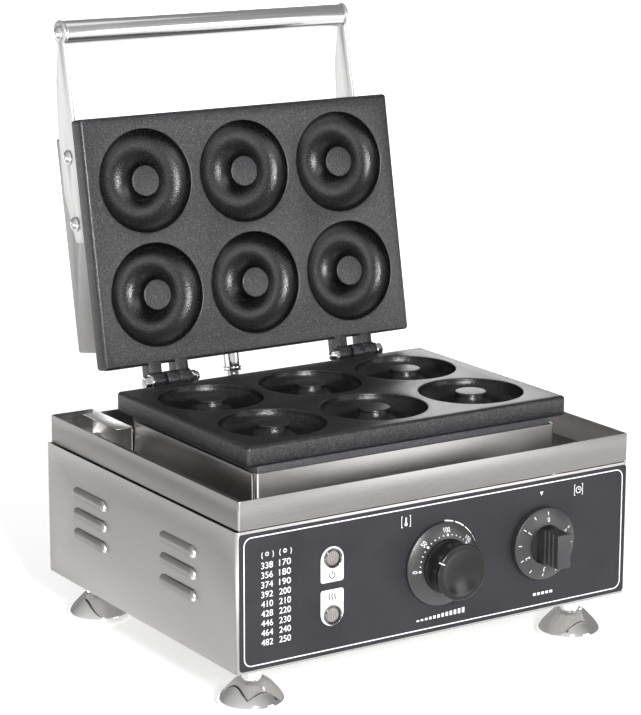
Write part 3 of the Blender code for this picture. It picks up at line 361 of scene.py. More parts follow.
finishes = {
    "casingSteel": brushedMetal("casingSteel", {
        "grain": (220, 220, 2400), "cloud": 3.5, "dark": (0.43, 0.42, 0.41), "light": (0.49, 0.475, 0.465),
        "smooth": 0.28, "rough": 0.36, "bump": 0.012}),
    # A darker copy of the casing steel for the lid cover: painted shade
    "shadedCoverSteel": brushedMetal("shadedCoverSteel", {
        "grain": (2200, 220, 220), "cloud": 3.5, "dark": (0.32, 0.315, 0.31), "light": (0.38, 0.37, 0.365),
        "smooth": 0.32, "rough": 0.42, "bump": 0.012}),
    "traySteel": brushedMetal("traySteel", {
        "grain": (220, 220, 2400), "cloud": 4, "dark": (0.31, 0.30, 0.295), "light": (0.37, 0.36, 0.355),
        "smooth": 0.28, "rough": 0.36, "bump": 0.012}),
    "armAndLitFrameSteel": brushedMetal("armAndLitFrameSteel", {
        "grain": (1400, 900, 50), "cloud": 6, "dark": (0.62, 0.62, 0.615), "light": (0.73, 0.73, 0.725),
        "smooth": 0.34, "rough": 0.44, "bump": 0.04}),
    "innerSteel": brushedMetal("innerSteel", {
        "grain": (9, 900, 9), "cloud": 6, "dark": (0.34, 0.33, 0.32), "light": (0.46, 0.45, 0.44),
        "smooth": 0.38, "rough": 0.52, "bump": 0.05}),
    # The heater pan's dark grey is partly its paint and partly painted shade under the plates
    "shadedPanPaint": speckledCoat("shadedPanPaint", {
        "speckle": 700, "dark": (0.05, 0.05, 0.055), "light": (0.11, 0.11, 0.115), "metallic": 0.2,
        "smooth": 0.34, "rough": 0.46, "specular": 0.5, "bump": 0.1}),
    "plateCoat": speckledCoat("plateCoat", {
        "speckle": 1150, "dark": (0.004, 0.004, 0.005), "light": (0.085, 0.085, 0.092), "metallic": 0.0,
        "smooth": 0.27, "rough": 0.36, "specular": 0.62, "bump": 0.5}),
    "overlayFilm": mouldedPlastic("overlayFilm", {
        "grain": 950, "dark": (0.007, 0.006, 0.009), "light": (0.040, 0.039, 0.045),
        "smooth": 0.42, "rough": 0.52, "bump": 0.25, "specular": 0.25}),
    "knobPlastic": mouldedPlastic("knobPlastic", {
        "grain": 1400, "dark": (0.004, 0.004, 0.005), "light": (0.012, 0.012, 0.013),
        "smooth": 0.22, "rough": 0.28, "bump": 0.02, "specular": 0.45}),
    "dialPlastic": mouldedPlastic("dialPlastic", {
        "grain": 1300, "dark": (0.004, 0.004, 0.005), "light": (0.045, 0.044, 0.047),
        "smooth": 0.28, "rough": 0.38, "bump": 0.6, "specular": 0.8}),
    "barChrome": brushedMetal("barChrome", {
        "grain": (10, 1100, 1100), "cloud": 12, "dark": (0.70, 0.70, 0.70), "light": (0.88, 0.88, 0.88),
        "smooth": 0.16, "rough": 0.26, "bump": 0.04}),
    "chrome": bareMetal("chrome", {
        "cloud": 45, "fine": 900, "dark": (0.78, 0.78, 0.78), "light": (0.88, 0.88, 0.88),
        "smooth": 0.05, "rough": 0.14, "bump": 0.02}),
    # A lighter copy of the chrome for the feet: painted light
    "litFootChrome": bareMetal("litFootChrome", {
        "cloud": 80, "fine": 120, "dark": (0.80, 0.795, 0.79), "light": (0.96, 0.95, 0.94),
        "smooth": 0.05, "rough": 0.13, "bump": 0.6}),
    # A darker copy of the chrome for the lamp bezels: a painted dark reflection
    "shadedBezelChrome": bareMetal("shadedBezelChrome", {
        "cloud": 45, "fine": 900, "dark": (0.16, 0.16, 0.16), "light": (0.26, 0.26, 0.26),
        "smooth": 0.06, "rough": 0.14, "bump": 0.02}),
    "hoseMetal": bareMetal("hoseMetal", {
        "cloud": 60, "fine": 1200, "dark": (0.50, 0.50, 0.51), "light": (0.68, 0.68, 0.69),
        "smooth": 0.16, "rough": 0.28, "bump": 0.05}),
    "heaterSheath": bareMetal("heaterSheath", {
        "cloud": 30, "fine": 500, "dark": (0.20, 0.17, 0.15), "light": (0.36, 0.33, 0.31),
        "smooth": 0.38, "rough": 0.55, "bump": 0.1}),
    "lensPlastic": ribbedLens("lensPlastic", {
        "ribs": 190, "waver": 1.5, "cloud": 260, "dark": (0.10, 0.092, 0.088), "light": (0.27, 0.25, 0.245),
        "smooth": 0.22, "rough": 0.4, "coat": 0.6, "coatRoughness": 0.08, "bump": 0.25}),
    "insulationBoard": fibreBoard("insulationBoard", {
        "grain": (300, 90, 500), "waver": 0.6, "tufts": 120, "dark": (0.62, 0.60, 0.54),
        "light": (0.86, 0.85, 0.80), "smooth": 0.85, "rough": 0.98, "sheen": 0.2, "bump": 0.6}),
    "innerPlastic": mouldedPlastic("innerPlastic", {
        "grain": 900, "dark": (0.045, 0.045, 0.05), "light": (0.085, 0.085, 0.09),
        "smooth": 0.42, "rough": 0.52, "bump": 0.1}),
    "terminalCeramic": mouldedPlastic("terminalCeramic", {
        "grain": 600, "dark": (0.70, 0.67, 0.60), "light": (0.84, 0.82, 0.76),
        "smooth": 0.25, "rough": 0.36, "bump": 0.04, "coat": 0.3}),
    "whiteInk": printInk("whiteInk", (0.80, 0.80, 0.80)),
    "darkInk": printInk("darkInk", (0.055, 0.053, 0.060)),
    # Darker than the plate coat: painted shade in the ring cavities, on a glossier finish
    "shadedCavityCoat": speckledCoat("shadedCavityCoat", {
        "speckle": 900, "dark": (0.001, 0.001, 0.0012), "light": (0.020, 0.020, 0.022), "metallic": 0.0,
        "smooth": 0.20, "rough": 0.27, "specular": 0.46, "bump": 0.7}),
    "floorPaint": glowingPaint("floorPaint", {
        "grain": 40, "dark": (0.90, 0.90, 0.90), "light": (0.94, 0.94, 0.94), "smooth": 0.65, "rough": 0.75,
        "glow": studio["floorGlow"], "farGlow": studio["farGlow"]}),
}
for cardName, card in studio["cards"].items():
    pale = studio["paleCard"] if card["glow"] > studio["paleFrom"] else studio["dimCard"]
    finishes[cardName + "CardPaint"] = glowingPaint(cardName + "CardPaint", {
        "grain": 40, "dark": (pale * 0.9,) * 3, "light": (pale,) * 3, "smooth": 0.8, "rough": 0.9,
        "glow": (card["glow"], card["glow"])})
print("finishes ready:", len(finishes))


# Modelling helpers

# How close corners lie that are welded, and the small radii that edges are broken with
welds = {"mirrored": 0.000002, "turned": 0.000005, "sheet": 0.00001}
edges = {"hair": 0.0003, "fine": 0.0005, "soft": 0.0006, "broad": 0.0008}


def leaveEditing():
    if bpy.context.object and bpy.context.object.mode != "OBJECT":
        bpy.ops.object.mode_set(mode="OBJECT")
    bpy.ops.object.select_all(action="DESELECT")


def pick(thing):
    leaveEditing()
    thing.hide_set(False)
    thing.select_set(True)
    bpy.context.view_layer.objects.active = thing


def applyPlace(thing):
    pick(thing)
    bpy.ops.object.transform_apply(location=True, rotation=True, scale=True)


def addBox(name, low, high):
    leaveEditing()
    bpy.ops.mesh.primitive_cube_add(size=1, location=[(a + b) / 2 for a, b in zip(low, high)])
    box = bpy.context.object
    box.name = name
    box.scale = [b - a for a, b in zip(low, high)]
    applyPlace(box)
    return box


def addRod(name, radius, low, high, sides=48, place=(0, 0, 0), turn=(0, 0, 0)):
    leaveEditing()
    bpy.ops.mesh.primitive_cylinder_add(vertices=sides, radius=radius, depth=high - low,
                                        location=(0, 0, (low + high) / 2))
    rod = bpy.context.object
    rod.name = name
    applyPlace(rod)
    move(rod, Matrix.Translation(place) @ Euler(turn).to_matrix().to_4x4())
    return rod


# A profile of (radius, height) pairs drawn point by point and spun about the upright axis
def lathe(name, profile, steps=96):
    leaveEditing()
    bpy.ops.mesh.primitive_plane_add(size=0.01)
    turned = bpy.context.object
    turned.name = name
    bpy.ops.object.mode_set(mode="EDIT")
    bpy.ops.mesh.select_mode(type="VERT")
    bpy.ops.mesh.select_all(action="SELECT")
    bpy.ops.mesh.merge(type="CENTER")
    bpy.ops.transform.translate(value=(profile[0][0], 0, profile[0][1]))
    for before, after in zip(profile, profile[1:]):
        step = (after[0] - before[0], 0, after[1] - before[1])
        bpy.ops.mesh.extrude_region_move(TRANSFORM_OT_translate={"value": step})
    bpy.ops.mesh.select_all(action="SELECT")
    bpy.ops.mesh.spin(steps=steps, angle=2 * math.pi, center=(0, 0, 0), axis=(0, 0, 1))
    bpy.ops.mesh.select_all(action="SELECT")
    bpy.ops.mesh.remove_doubles(threshold=welds["turned"])
    bpy.ops.mesh.normals_make_consistent(inside=False)
    bpy.ops.object.mode_set(mode="OBJECT")
    return turned


def curveArc(centre, radius, start, end, steps=8):
    turns = [math.radians(start + (end - start) * step / steps) for step in range(steps + 1)]
    return [(centre[0] + radius * math.cos(turn), centre[1] + radius * math.sin(turn)) for turn in turns]


def move(thing, matrix):
    thing.matrix_world = matrix @ thing.matrix_world
    applyPlace(thing)
    return thing


def roundEdges(thing, width, segments=3, angle=35):
    pick(thing)
    bevel = thing.modifiers.new("Rounding", "BEVEL")
    bevel.width = width
    bevel.segments = segments
    bevel.limit_method = "ANGLE"
    bevel.angle_limit = math.radians(angle)
    bpy.ops.object.modifier_apply(modifier=bevel.name)


def cutWith(thing, tools, operation="DIFFERENCE"):
    for tool in tools:
        pick(thing)
        step = thing.modifiers.new("Cut", "BOOLEAN")
        step.operation = operation
        step.solver = "EXACT"
        step.object = tool
        bpy.ops.object.modifier_apply(modifier=step.name)
        bpy.data.objects.remove(tool, do_unlink=True)


def copyOf(thing, name, matrix=None):
    twin = thing.copy()
    twin.data = thing.data.copy()
    twin.name = name
    bpy.context.scene.collection.objects.link(twin)
    return move(twin, matrix) if matrix else twin


def mergeInto(name, things):
    leaveEditing()
    for thing in things:
        thing.select_set(True)
    bpy.context.view_layer.objects.active = things[0]
    if len(things) > 1:
        bpy.ops.object.join()
    whole = bpy.context.object
    whole.name = name
    return whole


def dress(thing, body, finish, replaced=(), angle=30):
    pick(thing)
    if angle:
        bpy.ops.object.shade_smooth_by_angle(angle=math.radians(angle))
    thing.data.materials.clear()
    thing.data.materials.append(finishes[finish])
    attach(thing, body)
    if replaced:
        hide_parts(*replaced)
    return thing


def drawFlat(name, loops, thickness):
    curve = bpy.data.curves.new(name, "CURVE")
    curve.dimensions = "2D"
    curve.fill_mode = "BOTH"
    curve.extrude = thickness / 2
    for loop in loops:
        spline = curve.splines.new("POLY")
        spline.points.add(len(loop) - 1)
        for point, (x, y) in zip(spline.points, loop):
            point.co = (x, y, 0, 1)
        spline.use_cyclic_u = True
    drawn = bpy.data.objects.new(name, curve)
    bpy.context.scene.collection.objects.link(drawn)
    pick(drawn)
    bpy.ops.object.convert(target="MESH")
    return bpy.context.object


# A CAD node's own form with welded corners and softly broken edges
def softenedCopy(nodeName, name, width, segments=2):
    piece = copyOf(cadNodes[nodeName], name)
    piece.parent = None
    for key in [key for key in piece.keys() if key.startswith("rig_")]:
        del piece[key]
    pick(piece)
    bpy.ops.mesh.customdata_custom_splitnormals_clear()
    bpy.ops.object.mode_set(mode="EDIT")
    bpy.ops.mesh.select_all(action="SELECT")
    bpy.ops.mesh.remove_doubles(threshold=welds["sheet"])
    bpy.ops.mesh.dissolve_limited(angle_limit=math.radians(0.6))
    bpy.ops.object.mode_set(mode="OBJECT")
    if width:
        roundEdges(piece, width, segments, 40)
    return piece


# Cooking plates

plateShape = {
    "halfWidth": 0.1534, "front": -0.1149, "back": 0.0956, "thickness": 0.0169,
    "corner": 0.003, "edge": 0.0009,
    "pitchX": 0.0968, "pitchY": 0.0964, "rowsMiddle": -0.011,
    "outerRadius": 0.0435, "bossRadius": 0.01325, "depth": 0.0122, "rim": 0.0013,
    "knuckleRadius": 0.0075, "knuckleWidth": 0.012, "knuckleSpace": 0.0009, "innerX": 0.0747,
    "boltHole": 0.0033, "hingeY": 0.1096, "over": 0.002, "webSink": 0.003, "webEdge": 0.0006,
    "faceHeight": 0.2051, "lowerWeb": 0.0085, "lowerAxis": -0.0004, "upperWeb": 0.0125, "upperAxis": -0.0014,
}


def cavityCutter(name, shape):
    outer, boss, rim, depth = (shape[key] for key in ("outerRadius", "bossRadius", "rim", "depth"))
    over = shape["over"]
    profile = [(boss - rim, over), (outer + rim, over)]
    profile += curveArc((outer + rim, -rim), rim, 90, 180, 5)
    middle = (outer + boss) / 2
    half = (outer - boss) / 2
    for step in range(1, 18):
        turn = math.pi * step / 18
        profile.append((middle + half * math.cos(turn), -rim - (depth - rim) * math.sin(turn)))
    profile += curveArc((boss - rim, -rim), rim, 0, 90, 5)
    profile.append((boss - rim, over))
    return lathe(name, profile, 72)


# The plate is drawn face up with its face at zero height, and turned over for the lid
def makePlate(name, shape, knuckleXs, webDepth, axisHeight):
    low = (-shape["halfWidth"], shape["front"], -shape["thickness"])
    high = (shape["halfWidth"], shape["back"], 0)
    plate = addBox(name, low, high)
    bpy.ops.object.mode_set(mode="EDIT")
    bpy.ops.mesh.select_all(action="DESELECT")
    bpy.ops.object.mode_set(mode="OBJECT")
    for edge in plate.data.edges:
        ends = [plate.data.vertices[index].co for index in edge.vertices]
        edge.select = abs(ends[0].z - ends[1].z) > shape["thickness"] / 2
    bpy.ops.object.mode_set(mode="EDIT")
    bpy.ops.mesh.select_mode(type="EDGE")
    bpy.ops.mesh.bevel(offset=shape["corner"], segments=5)
    bpy.ops.mesh.select_mode(type="VERT")
    bpy.ops.object.mode_set(mode="OBJECT")
    roundEdges(plate, shape["edge"], 3)
    half = shape["knuckleWidth"] / 2
    alongX = (0, math.pi / 2, 0)
    knuckles = []
    for side in (-1, 1):
        for x in knuckleXs:
            web = addBox(name + "Web", (side * x - half, shape["back"] - shape["webSink"], -webDepth),
                         (side * x + half, shape["hingeY"], 0))
            place = (side * x, shape["hingeY"], axisHeight)
            barrel = addRod(name + "Barrel", shape["knuckleRadius"], -half, half, 40, place, alongX)
            cutWith(web, [barrel], "UNION")
            roundEdges(web, shape["webEdge"], 2, 40)
            cutWith(web, [addRod(name + "Bore", shape["boltHole"], -half * 2, half * 2, 32, place, alongX)])
            knuckles.append(web)
    cutWith(plate, knuckles, "UNION")
    cutter = cavityCutter(name + "Cutter", shape)
    cutters = []
    for column in (-1, 0, 1):
        for row in (-0.5, 0.5):
            y = shape["rowsMiddle"] + row * shape["pitchY"]
            cutters.append(copyOf(cutter, name + "Cut", Matrix.Translation((column * shape["pitchX"], y, 0))))
    bpy.data.objects.remove(cutter, do_unlink=True)
    cutWith(plate, cutters)
    return plate


middleKnuckle = plateShape["innerX"] + plateShape["knuckleWidth"] * 1.5 + plateShape["knuckleSpace"]
innerKnuckle = plateShape["innerX"] + plateShape["knuckleWidth"] / 2
outerKnuckle = innerKnuckle + 2 * (plateShape["knuckleWidth"] + plateShape["knuckleSpace"])

lowerPlate = makePlate("lowerPlate", plateShape, [middleKnuckle], plateShape["lowerWeb"],
                       plateShape["lowerAxis"])
lowerPlace = basePlace @ Matrix.Translation((0, 0, plateShape["faceHeight"]))
move(lowerPlate, lowerPlace)
dress(lowerPlate, "base", "plateCoat", ["lower_plate"])

# Face down in the shut lid: mirrored in height so that its knuckles stay at the back
upperKnuckles = [innerKnuckle, outerKnuckle]
upperPlate = makePlate("upperPlate", plateShape, upperKnuckles, plateShape["upperWeb"],
                       plateShape["upperAxis"])
flip = Matrix.Translation((0, 0, -plateShape["upperAxis"])) @ Matrix.Scale(-1, 4, (0, 0, 1))
upperPlace = lidPlace @ Matrix.Translation((0, -plateShape["hingeY"], 0)) @ flip
move(upperPlate, upperPlace)
bpy.ops.object.mode_set(mode="EDIT")
bpy.ops.mesh.select_all(action="SELECT")
bpy.ops.mesh.remove_doubles(threshold=welds["mirrored"])
bpy.ops.mesh.normals_make_consistent(inside=False)
bpy.ops.object.mode_set(mode="OBJECT")
dress(upperPlate, "lid", "plateCoat", ["upper_plate"])
print("plates ready")


# The ring cavities get a glossier coat than the face round them, and its darker colour is painted shade in
# the hollows
def coatCavities(plate, shape, place):
    plate.data.materials.append(finishes["shadedCavityCoat"])
    back = place.inverted()
    reach = shape["outerRadius"] + shape["rim"]
    centres = [Vector((column * shape["pitchX"], shape["rowsMiddle"] + row * shape["pitchY"]))
               for column in (-1, 0, 1) for row in (-0.5, 0.5)]
    for face in plate.data.polygons:
        spot = back @ face.center
        inside = any((spot.xy - centre).length < reach for centre in centres)
        if inside and -shape["depth"] - shape["edge"] < spot.z < -shape["rim"] / 2:
            face.material_index = 1


coatCavities(lowerPlate, plateShape, lowerPlace)
coatCavities(upperPlate, plateShape, upperPlace)


# Hinge bolts and dome nuts

hingeParts = {
    "headRadius": 0.0056, "headHeight": 0.0055, "washerRadius": 0.0064, "washerThickness": 0.0012,
    "shankRadius": 0.003, "gap": 0.0003, "nutHeight": 0.0045, "domeRadius": 0.0046, "boreDepth": 0.0065,
    "shankSink": 0.0005, "washerEdge": (0.0002, 0.0001), "over": 0.001, "boltTurn": 0.35, "nutTurn": 0.2,
    "coneShare": 1.3, "chamferShare": 0.34, "topShare": 0.84, "edge": 0.00025,
}


def makeHexBlock(name, radius, low, high):
    hexagon = addRod(name, radius, low, high, 6)
    wide, under = radius * hingeParts["coneShare"], low - hingeParts["over"]
    cone = [(0, under), (wide, under), (wide, high - radius * hingeParts["chamferShare"]),
            (radius * hingeParts["topShare"], high), (0, high)]
    cutWith(hexagon, [lathe(name + "Chamfer", cone, 64)], "INTERSECT")
    roundEdges(hexagon, hingeParts["edge"], 2, 25)
    return hexagon


def makeHingeBolt(size):
    seat = size["gap"] + size["washerThickness"]
    head = makeHexBlock("boltHead", size["headRadius"], seat, seat + size["headHeight"])
    reach = 3 * plateShape["knuckleWidth"] + 2 * plateShape["knuckleSpace"] + size["boreDepth"]
    inset, lift = size["washerEdge"]
    profile = [(0, seat + size["shankSink"]), (size["washerRadius"] - inset, seat + lift),
               (size["washerRadius"], seat), (size["washerRadius"], size["gap"]),
               (size["shankRadius"], size["gap"]), (size["shankRadius"], -reach), (0, -reach)]
    cutWith(head, [lathe("boltShank", profile, 48)], "UNION")
    return head


def makeDomeNut(size):
    nut = makeHexBlock("nutBlock", size["headRadius"], size["gap"], size["nutHeight"])
    dome = curveArc((0, size["nutHeight"]), size["domeRadius"], 90, 0, 12)
    dome[0] = (0, dome[0][1])
    profile = dome + [(size["domeRadius"], size["nutHeight"] / 2), (0, size["nutHeight"] / 2)]
    cutWith(nut, [lathe("nutDome", profile, 48)], "UNION")
    bore = size["shankRadius"] + size["gap"]
    cutWith(nut, [addRod("nutBore", bore, -size["over"], size["boreDepth"] + size["gap"], 32)])
    return nut


boltModel = makeHingeBolt(hingeParts)
nutModel = makeDomeNut(hingeParts)
earOuter = plateShape["innerX"] + 3 * plateShape["knuckleWidth"] + 2 * plateShape["knuckleSpace"]
for side, word in ((-1, "left"), (1, "right")):
    outwards = Matrix.Translation((side * earOuter, 0, 0)) @ Matrix.Rotation(side * math.pi / 2, 4, "Y")
    turned = outwards @ Matrix.Rotation(hingeParts["boltTurn"], 4, "Z")
    bolt = copyOf(boltModel, "hingeBolt" + word.title(), lidPlace @ turned)
    dress(bolt, "lid", "chrome", ["hinge_bolt_" + word])
    inwards = Matrix.Rotation(-side * math.pi / 2, 4, "Y") @ Matrix.Rotation(hingeParts["nutTurn"], 4, "Z")
    nutPlace = Matrix.Translation((side * plateShape["innerX"], 0, 0)) @ inwards
    nut = copyOf(nutModel, "hingeNut" + word.title(), lidPlace @ nutPlace)
    dress(nut, "lid", "chrome", ["hinge_nut_" + word])
for model in (boltModel, nutModel):
    bpy.data.objects.remove(model, do_unlink=True)
print("hinge ready")


# Arms' screws and the grip bar

armParts = {
    "coverHalf": 0.1395, "armThickness": 0.0022, "gap": 0.0003,
    "frontScrew": -0.0852, "backScrew": -0.0284, "screwHeight": 0.049,
    "barY": -0.1897, "barHeight": 0.0418, "barRadius": 0.0102, "faceLift": 0.0014,
    "headRadius": 0.0063, "headHeight": 0.0036, "shankRadius": 0.0021, "shankLength": 0.0085,
    "headEdge": 0.0002, "rimShare": 0.2,
    "slotHalfLength": 0.0021, "slotHalfWidth": 0.0005, "slotDepth": 0.0016,
    "slotTurn": 0.4, "slotEdge": 0.00012, "over": 0.001,
    "boreDepth": 0.012, "boreEdge": 0.0005, "barEdge": 0.0014, "armEdge": 0.0003,
}


def lidSpot(y, height):
    return (y - plateShape["hingeY"], height + armParts["faceLift"])


def makeDomeScrew(size):
    dome = []
    for step in range(9):
        turn = math.pi / 2 * (1 - step / 9)
        dome.append((size["headRadius"] * math.cos(turn), size["headHeight"] * math.sin(turn)))
    dome[0] = (0, dome[0][1])
    profile = dome + [(size["headRadius"], size["headHeight"] * size["rimShare"]),
                      (size["headRadius"] - size["headEdge"], 0), (size["shankRadius"], 0),
                      (size["shankRadius"], -size["shankLength"]), (0, -size["shankLength"])]
    screw = lathe("screwModel", profile, 48)
    long, wide, top = size["slotHalfLength"], size["slotHalfWidth"], size["headHeight"]
    slots = []
    for turn in (0, math.pi / 2):
        blade = addBox("blade", (-long, -wide, top - size["slotDepth"]), (long, wide, top + size["over"]))
        slots.append(move(blade, Matrix.Rotation(turn + size["slotTurn"], 4, "Z")))
    cutWith(slots[0], [slots[1]], "UNION")
    cutWith(screw, [slots[0]])
    roundEdges(screw, size["slotEdge"], 2, 40)
    return screw


screwModel = makeDomeScrew(armParts)
headX = armParts["coverHalf"] + 2 * armParts["gap"] + armParts["armThickness"]
spots = {
    "front": lidSpot(armParts["frontScrew"], armParts["screwHeight"]),
    "back": lidSpot(armParts["backScrew"], armParts["screwHeight"]),
    "bar": lidSpot(armParts["barY"], armParts["barHeight"]),
}
for side, word in ((-1, "left"), (1, "right")):
    for spot, (y, z) in spots.items():
        outwards = Matrix.Translation((side * headX, y, z)) @ Matrix.Rotation(side * math.pi / 2, 4, "Y")
        screw = copyOf(screwModel, "armScrew" + spot.title() + word.title(), lidPlace @ outwards)
        dress(screw, "lid", "chrome", ["arm_screw_" + spot + "_" + word])
bpy.data.objects.remove(screwModel, do_unlink=True)


def makeGripBar(size):
    half, edge, mouth = size["coverHalf"], size["barEdge"], size["boreEdge"]
    bore = size["shankRadius"] + size["gap"]
    shoulder = size["barRadius"] - edge
    end = [(0, half - size["boreDepth"]), (bore, half - size["boreDepth"]), (bore, half - mouth),
           (bore + mouth, half), (shoulder, half)]
    end += curveArc((shoulder, half - edge), edge, 80, 0, 4)
    profile = end + [(spot, -height) for spot, height in reversed(end)]
    return lathe("gripBar", profile, 96)


barY, barZ = spots["bar"]
gripBar = makeGripBar(armParts)
move(gripBar, lidPlace @ Matrix.Translation((0, barY, barZ)) @ Matrix.Rotation(math.pi / 2, 4, "Y"))
dress(gripBar, "lid", "barChrome", ["handle_bar"])

for word in ("left", "right"):
    arm = softenedCopy("arm_" + word, "arm" + word.title(), armParts["armEdge"])
    dress(arm, "lid", "armAndLitFrameSteel", ["arm_" + word], 35)
print("arms ready")


# Sizes of the controls, with height above the casing's lower edge and distance out of the front wall
controls = {
    "filmFace": 0.0008, "gap": 0.0003,
    "thermostat": (0, 0.0578), "timer": (0.0987, 0.0588),
    "lampX": -0.1027, "powerLamp": 0.0797, "heatLamp": 0.0337,
    "ringRadius": 0.034, "ringThickness": 0.0072, "ringHole": 0.0036, "ringFlat": 0.0238, "ringSlope": 0.47,
    "knobBase": 0.0222, "knobWaist": 0.0198, "knobFace": 0.0229, "faceHeight": 0.030,
    "knobTop": 0.0026, "knobRise": 0.001, "knobEdge": 0.0015, "knobInset": (0.0004, 0.0001),
    "waistPower": 2.2,
    "dishRadius": 0.0178, "dishDepth": 0.0042, "dishRim": 0.0012, "knobTurn": 62,
    "boreRadius": 0.0033, "boreDepth": 0.0123,
    "dialRadius": 0.030, "dialThickness": 0.0085, "dialFlat": 0.0170, "dialSlope": 0.24,
    "recessRadius": 0.016, "recessDepth": 0.005, "over": 0.001,
    "gripHalfWidth": 0.0065, "gripHalfHeight": 0.014, "gripHeight": 0.0322, "gripSink": 0.0015,
    "grooves": 3, "grooveTop": 0.0060, "groovePitch": 0.0052,
    "grooveHalfDepth": 0.0008, "grooveHalfWidth": 0.0007,
    "bezelRadius": 0.0079, "bezelHeight": 0.0024, "bezelLip": 0.0007, "bezelLipEdge": 0.0002,
    "lensRadius": 0.0062, "lensDrop": 0.0006, "lensDome": 0.0014, "lensShoulder": 0.0016,
    "lampBody": 0.0071, "lampLength": 0.014,
}


# Sheet metal: casing, tray, well frame, pan and lid cover

casingSheet = {
    "half": 0.188, "front": -0.155, "back": 0.155, "low": 0.040, "high": 0.153,
    "wall": 0.0012, "bend": 0.0038,
    "over": 0.002, "edge": 0.0003, "spindleHole": 0.0036, "lampHole": 0.0074,
    "louvreLength": 0.057, "louvreHeight": 0.0085, "louvreOut": 0.0042, "louvreEnd": 0.0065,
    "louvreTop": 0.0778, "louvrePitch": 0.0177, "louvreRows": 3, "louvreColumns": (-0.0654, 0.0806),
    "slotHeightShare": 0.62, "slotLengthShare": 0.80, "hollowShare": 0.8,
}


# Half a flattened capsule along X, rising from the sheet in Z
def makeHoodForm(name, size, shrink, low):
    half = size["louvreLength"] / 2 - shrink
    end = size["louvreEnd"] - shrink
    height, out = size["louvreHeight"] - shrink, size["louvreOut"] - shrink
    turns = [math.pi / 2 * step / 9 for step in range(10)]
    upper = [(height * math.cos(turn), half - end + end * math.sin(turn)) for turn in turns]
    upper[-1] = (0, half)
    capsule = lathe(name, [(radius, -z) for radius, z in reversed(upper)] + upper, 72)
    move(capsule, Matrix.Diagonal((1, 1, out / height, 1)) @ Matrix.Rotation(math.pi / 2, 4, "Y"))
    bound = addBox(name + "Bound", (-2 * half, low[0], low[1]), (2 * half, 2 * height, 2 * height))
    cutWith(capsule, [bound], "INTERSECT")
    return capsule


def makeCasingWrap(size):
    half, front, back, wall, bend = (size[key] for key in ("half", "front", "back", "wall", "bend"))
    left, right = (-half + bend, front + bend), (half - bend, front + bend)
    loop = [(-half, back)] + curveArc(left, bend, 180, 270, 10) + curveArc(right, bend, 270, 360, 10)
    loop += [(half, back), (half - wall, back)] + curveArc(right, bend - wall, 360, 270, 10)
    loop += curveArc(left, bend - wall, 270, 180, 10) + [(-half + wall, back)]
    wrap = drawFlat("casingWrap", [loop], size["high"] - size["low"])
    bpy.ops.object.mode_set(mode="EDIT")
    bpy.ops.mesh.select_all(action="SELECT")
    bpy.ops.mesh.remove_doubles(threshold=welds["sheet"])
    bpy.ops.mesh.normals_make_consistent(inside=False)
    bpy.ops.object.mode_set(mode="OBJECT")
    roundEdges(wrap, size["edge"], 2, 60)
    move(wrap, basePlace @ Matrix.Translation((0, 0, (size["low"] + size["high"]) / 2)))

    outer = makeHoodForm("hood", size, 0, (0, -wall / 2))
    inner = makeHoodForm("hollow", size, wall * size["hollowShare"], (-size["over"], 0))
    slotHalf = size["louvreLength"] / 2 - size["louvreEnd"] * size["slotLengthShare"]
    slotHeight = size["louvreHeight"] * size["slotHeightShare"]
    slot = addBox("hoodSlot", (-slotHalf, 0, -wall - size["over"]), (slotHalf, slotHeight, wall / 3))
    cutWith(inner, [slot], "UNION")
    for side in (-1, 1):
        turn = Matrix(((0, 0, side), (side, 0, 0), (0, 1, 0))).to_4x4()
        for form, operation in ((outer, "UNION"), (inner, "DIFFERENCE")):
            forms = []
            for column in size["louvreColumns"]:
                for row in range(size["louvreRows"]):
                    low = size["low"] + size["louvreTop"] - row * size["louvrePitch"]
                    place = basePlace @ Matrix.Translation((side * half, column, low)) @ turn
                    forms.append(copyOf(form, "louvre", place))
            cutWith(wrap, [mergeInto("louvres", forms)], operation)
    for form in (outer, inner):
        bpy.data.objects.remove(form, do_unlink=True)

    holes = [(controls["thermostat"], "spindleHole"), (controls["timer"], "spindleHole"),
             ((controls["lampX"], controls["powerLamp"]), "lampHole"),
             ((controls["lampX"], controls["heatLamp"]), "lampHole")]
    for (x, height), key in holes:
        hole = addRod("panelHole", size[key], -wall - size["over"], size["over"], 48, (x, height, 0))
        cutWith(wrap, [move(hole, frontPlace)])
    return wrap


casingWrap = makeCasingWrap(casingSheet)
dress(casingWrap, "base", "casingSteel", ["casing_wrap"], 32)

# CAD node, piece, finish, slot and how far the edges are broken
sheetPieces = [
    ("back_panel", "backPanel", "casingSteel", "brushed_steel", 0.0003),
    ("drip_tray", "dripTray", "traySteel", "tray_steel", 0.0003),
    # The well frame takes the lighter arm steel rather than the tray's: painted light on the frame
    ("well_frame", "wellFrame", "armAndLitFrameSteel", "tray_steel", 0.00035),
    ("heater_pan", "heaterPan", "shadedPanPaint", "pan_steel", 0.0003),
    ("lid_cover", "lidCover", "shadedCoverSteel", "brushed_steel", 0.0003),
]
wellEnd = {"half": 0.1476, "wall": 0.001, "front": 0.1380, "back": 0.1499, "low": 0.1562, "high": 0.1771}


# The side walls of the well frame run on to the back wall of the tray, closing the gap there so that it shows
# shade: walls put where there is only shade
def extendWell(sheet, size):
    for side in (-1, 1):
        inner, outer = side * (size["half"] - size["wall"]), side * size["half"]
        wall = addBox("wellEnd", (min(inner, outer), size["front"], size["low"]),
                      (max(inner, outer), size["back"], size["high"]))
        cutWith(sheet, [move(wall, basePlace)], "UNION")


for nodeName, pieceName, finish, slotName, width in sheetPieces:
    body = "lid" if nodeName == "lid_cover" else "base"
    piece = softenedCopy(nodeName, pieceName, width)
    if nodeName == "well_frame":
        extendWell(piece, wellEnd)
    dress(piece, body, finish, [nodeName], 40)
print("sheet metal ready")


# Levelling feet

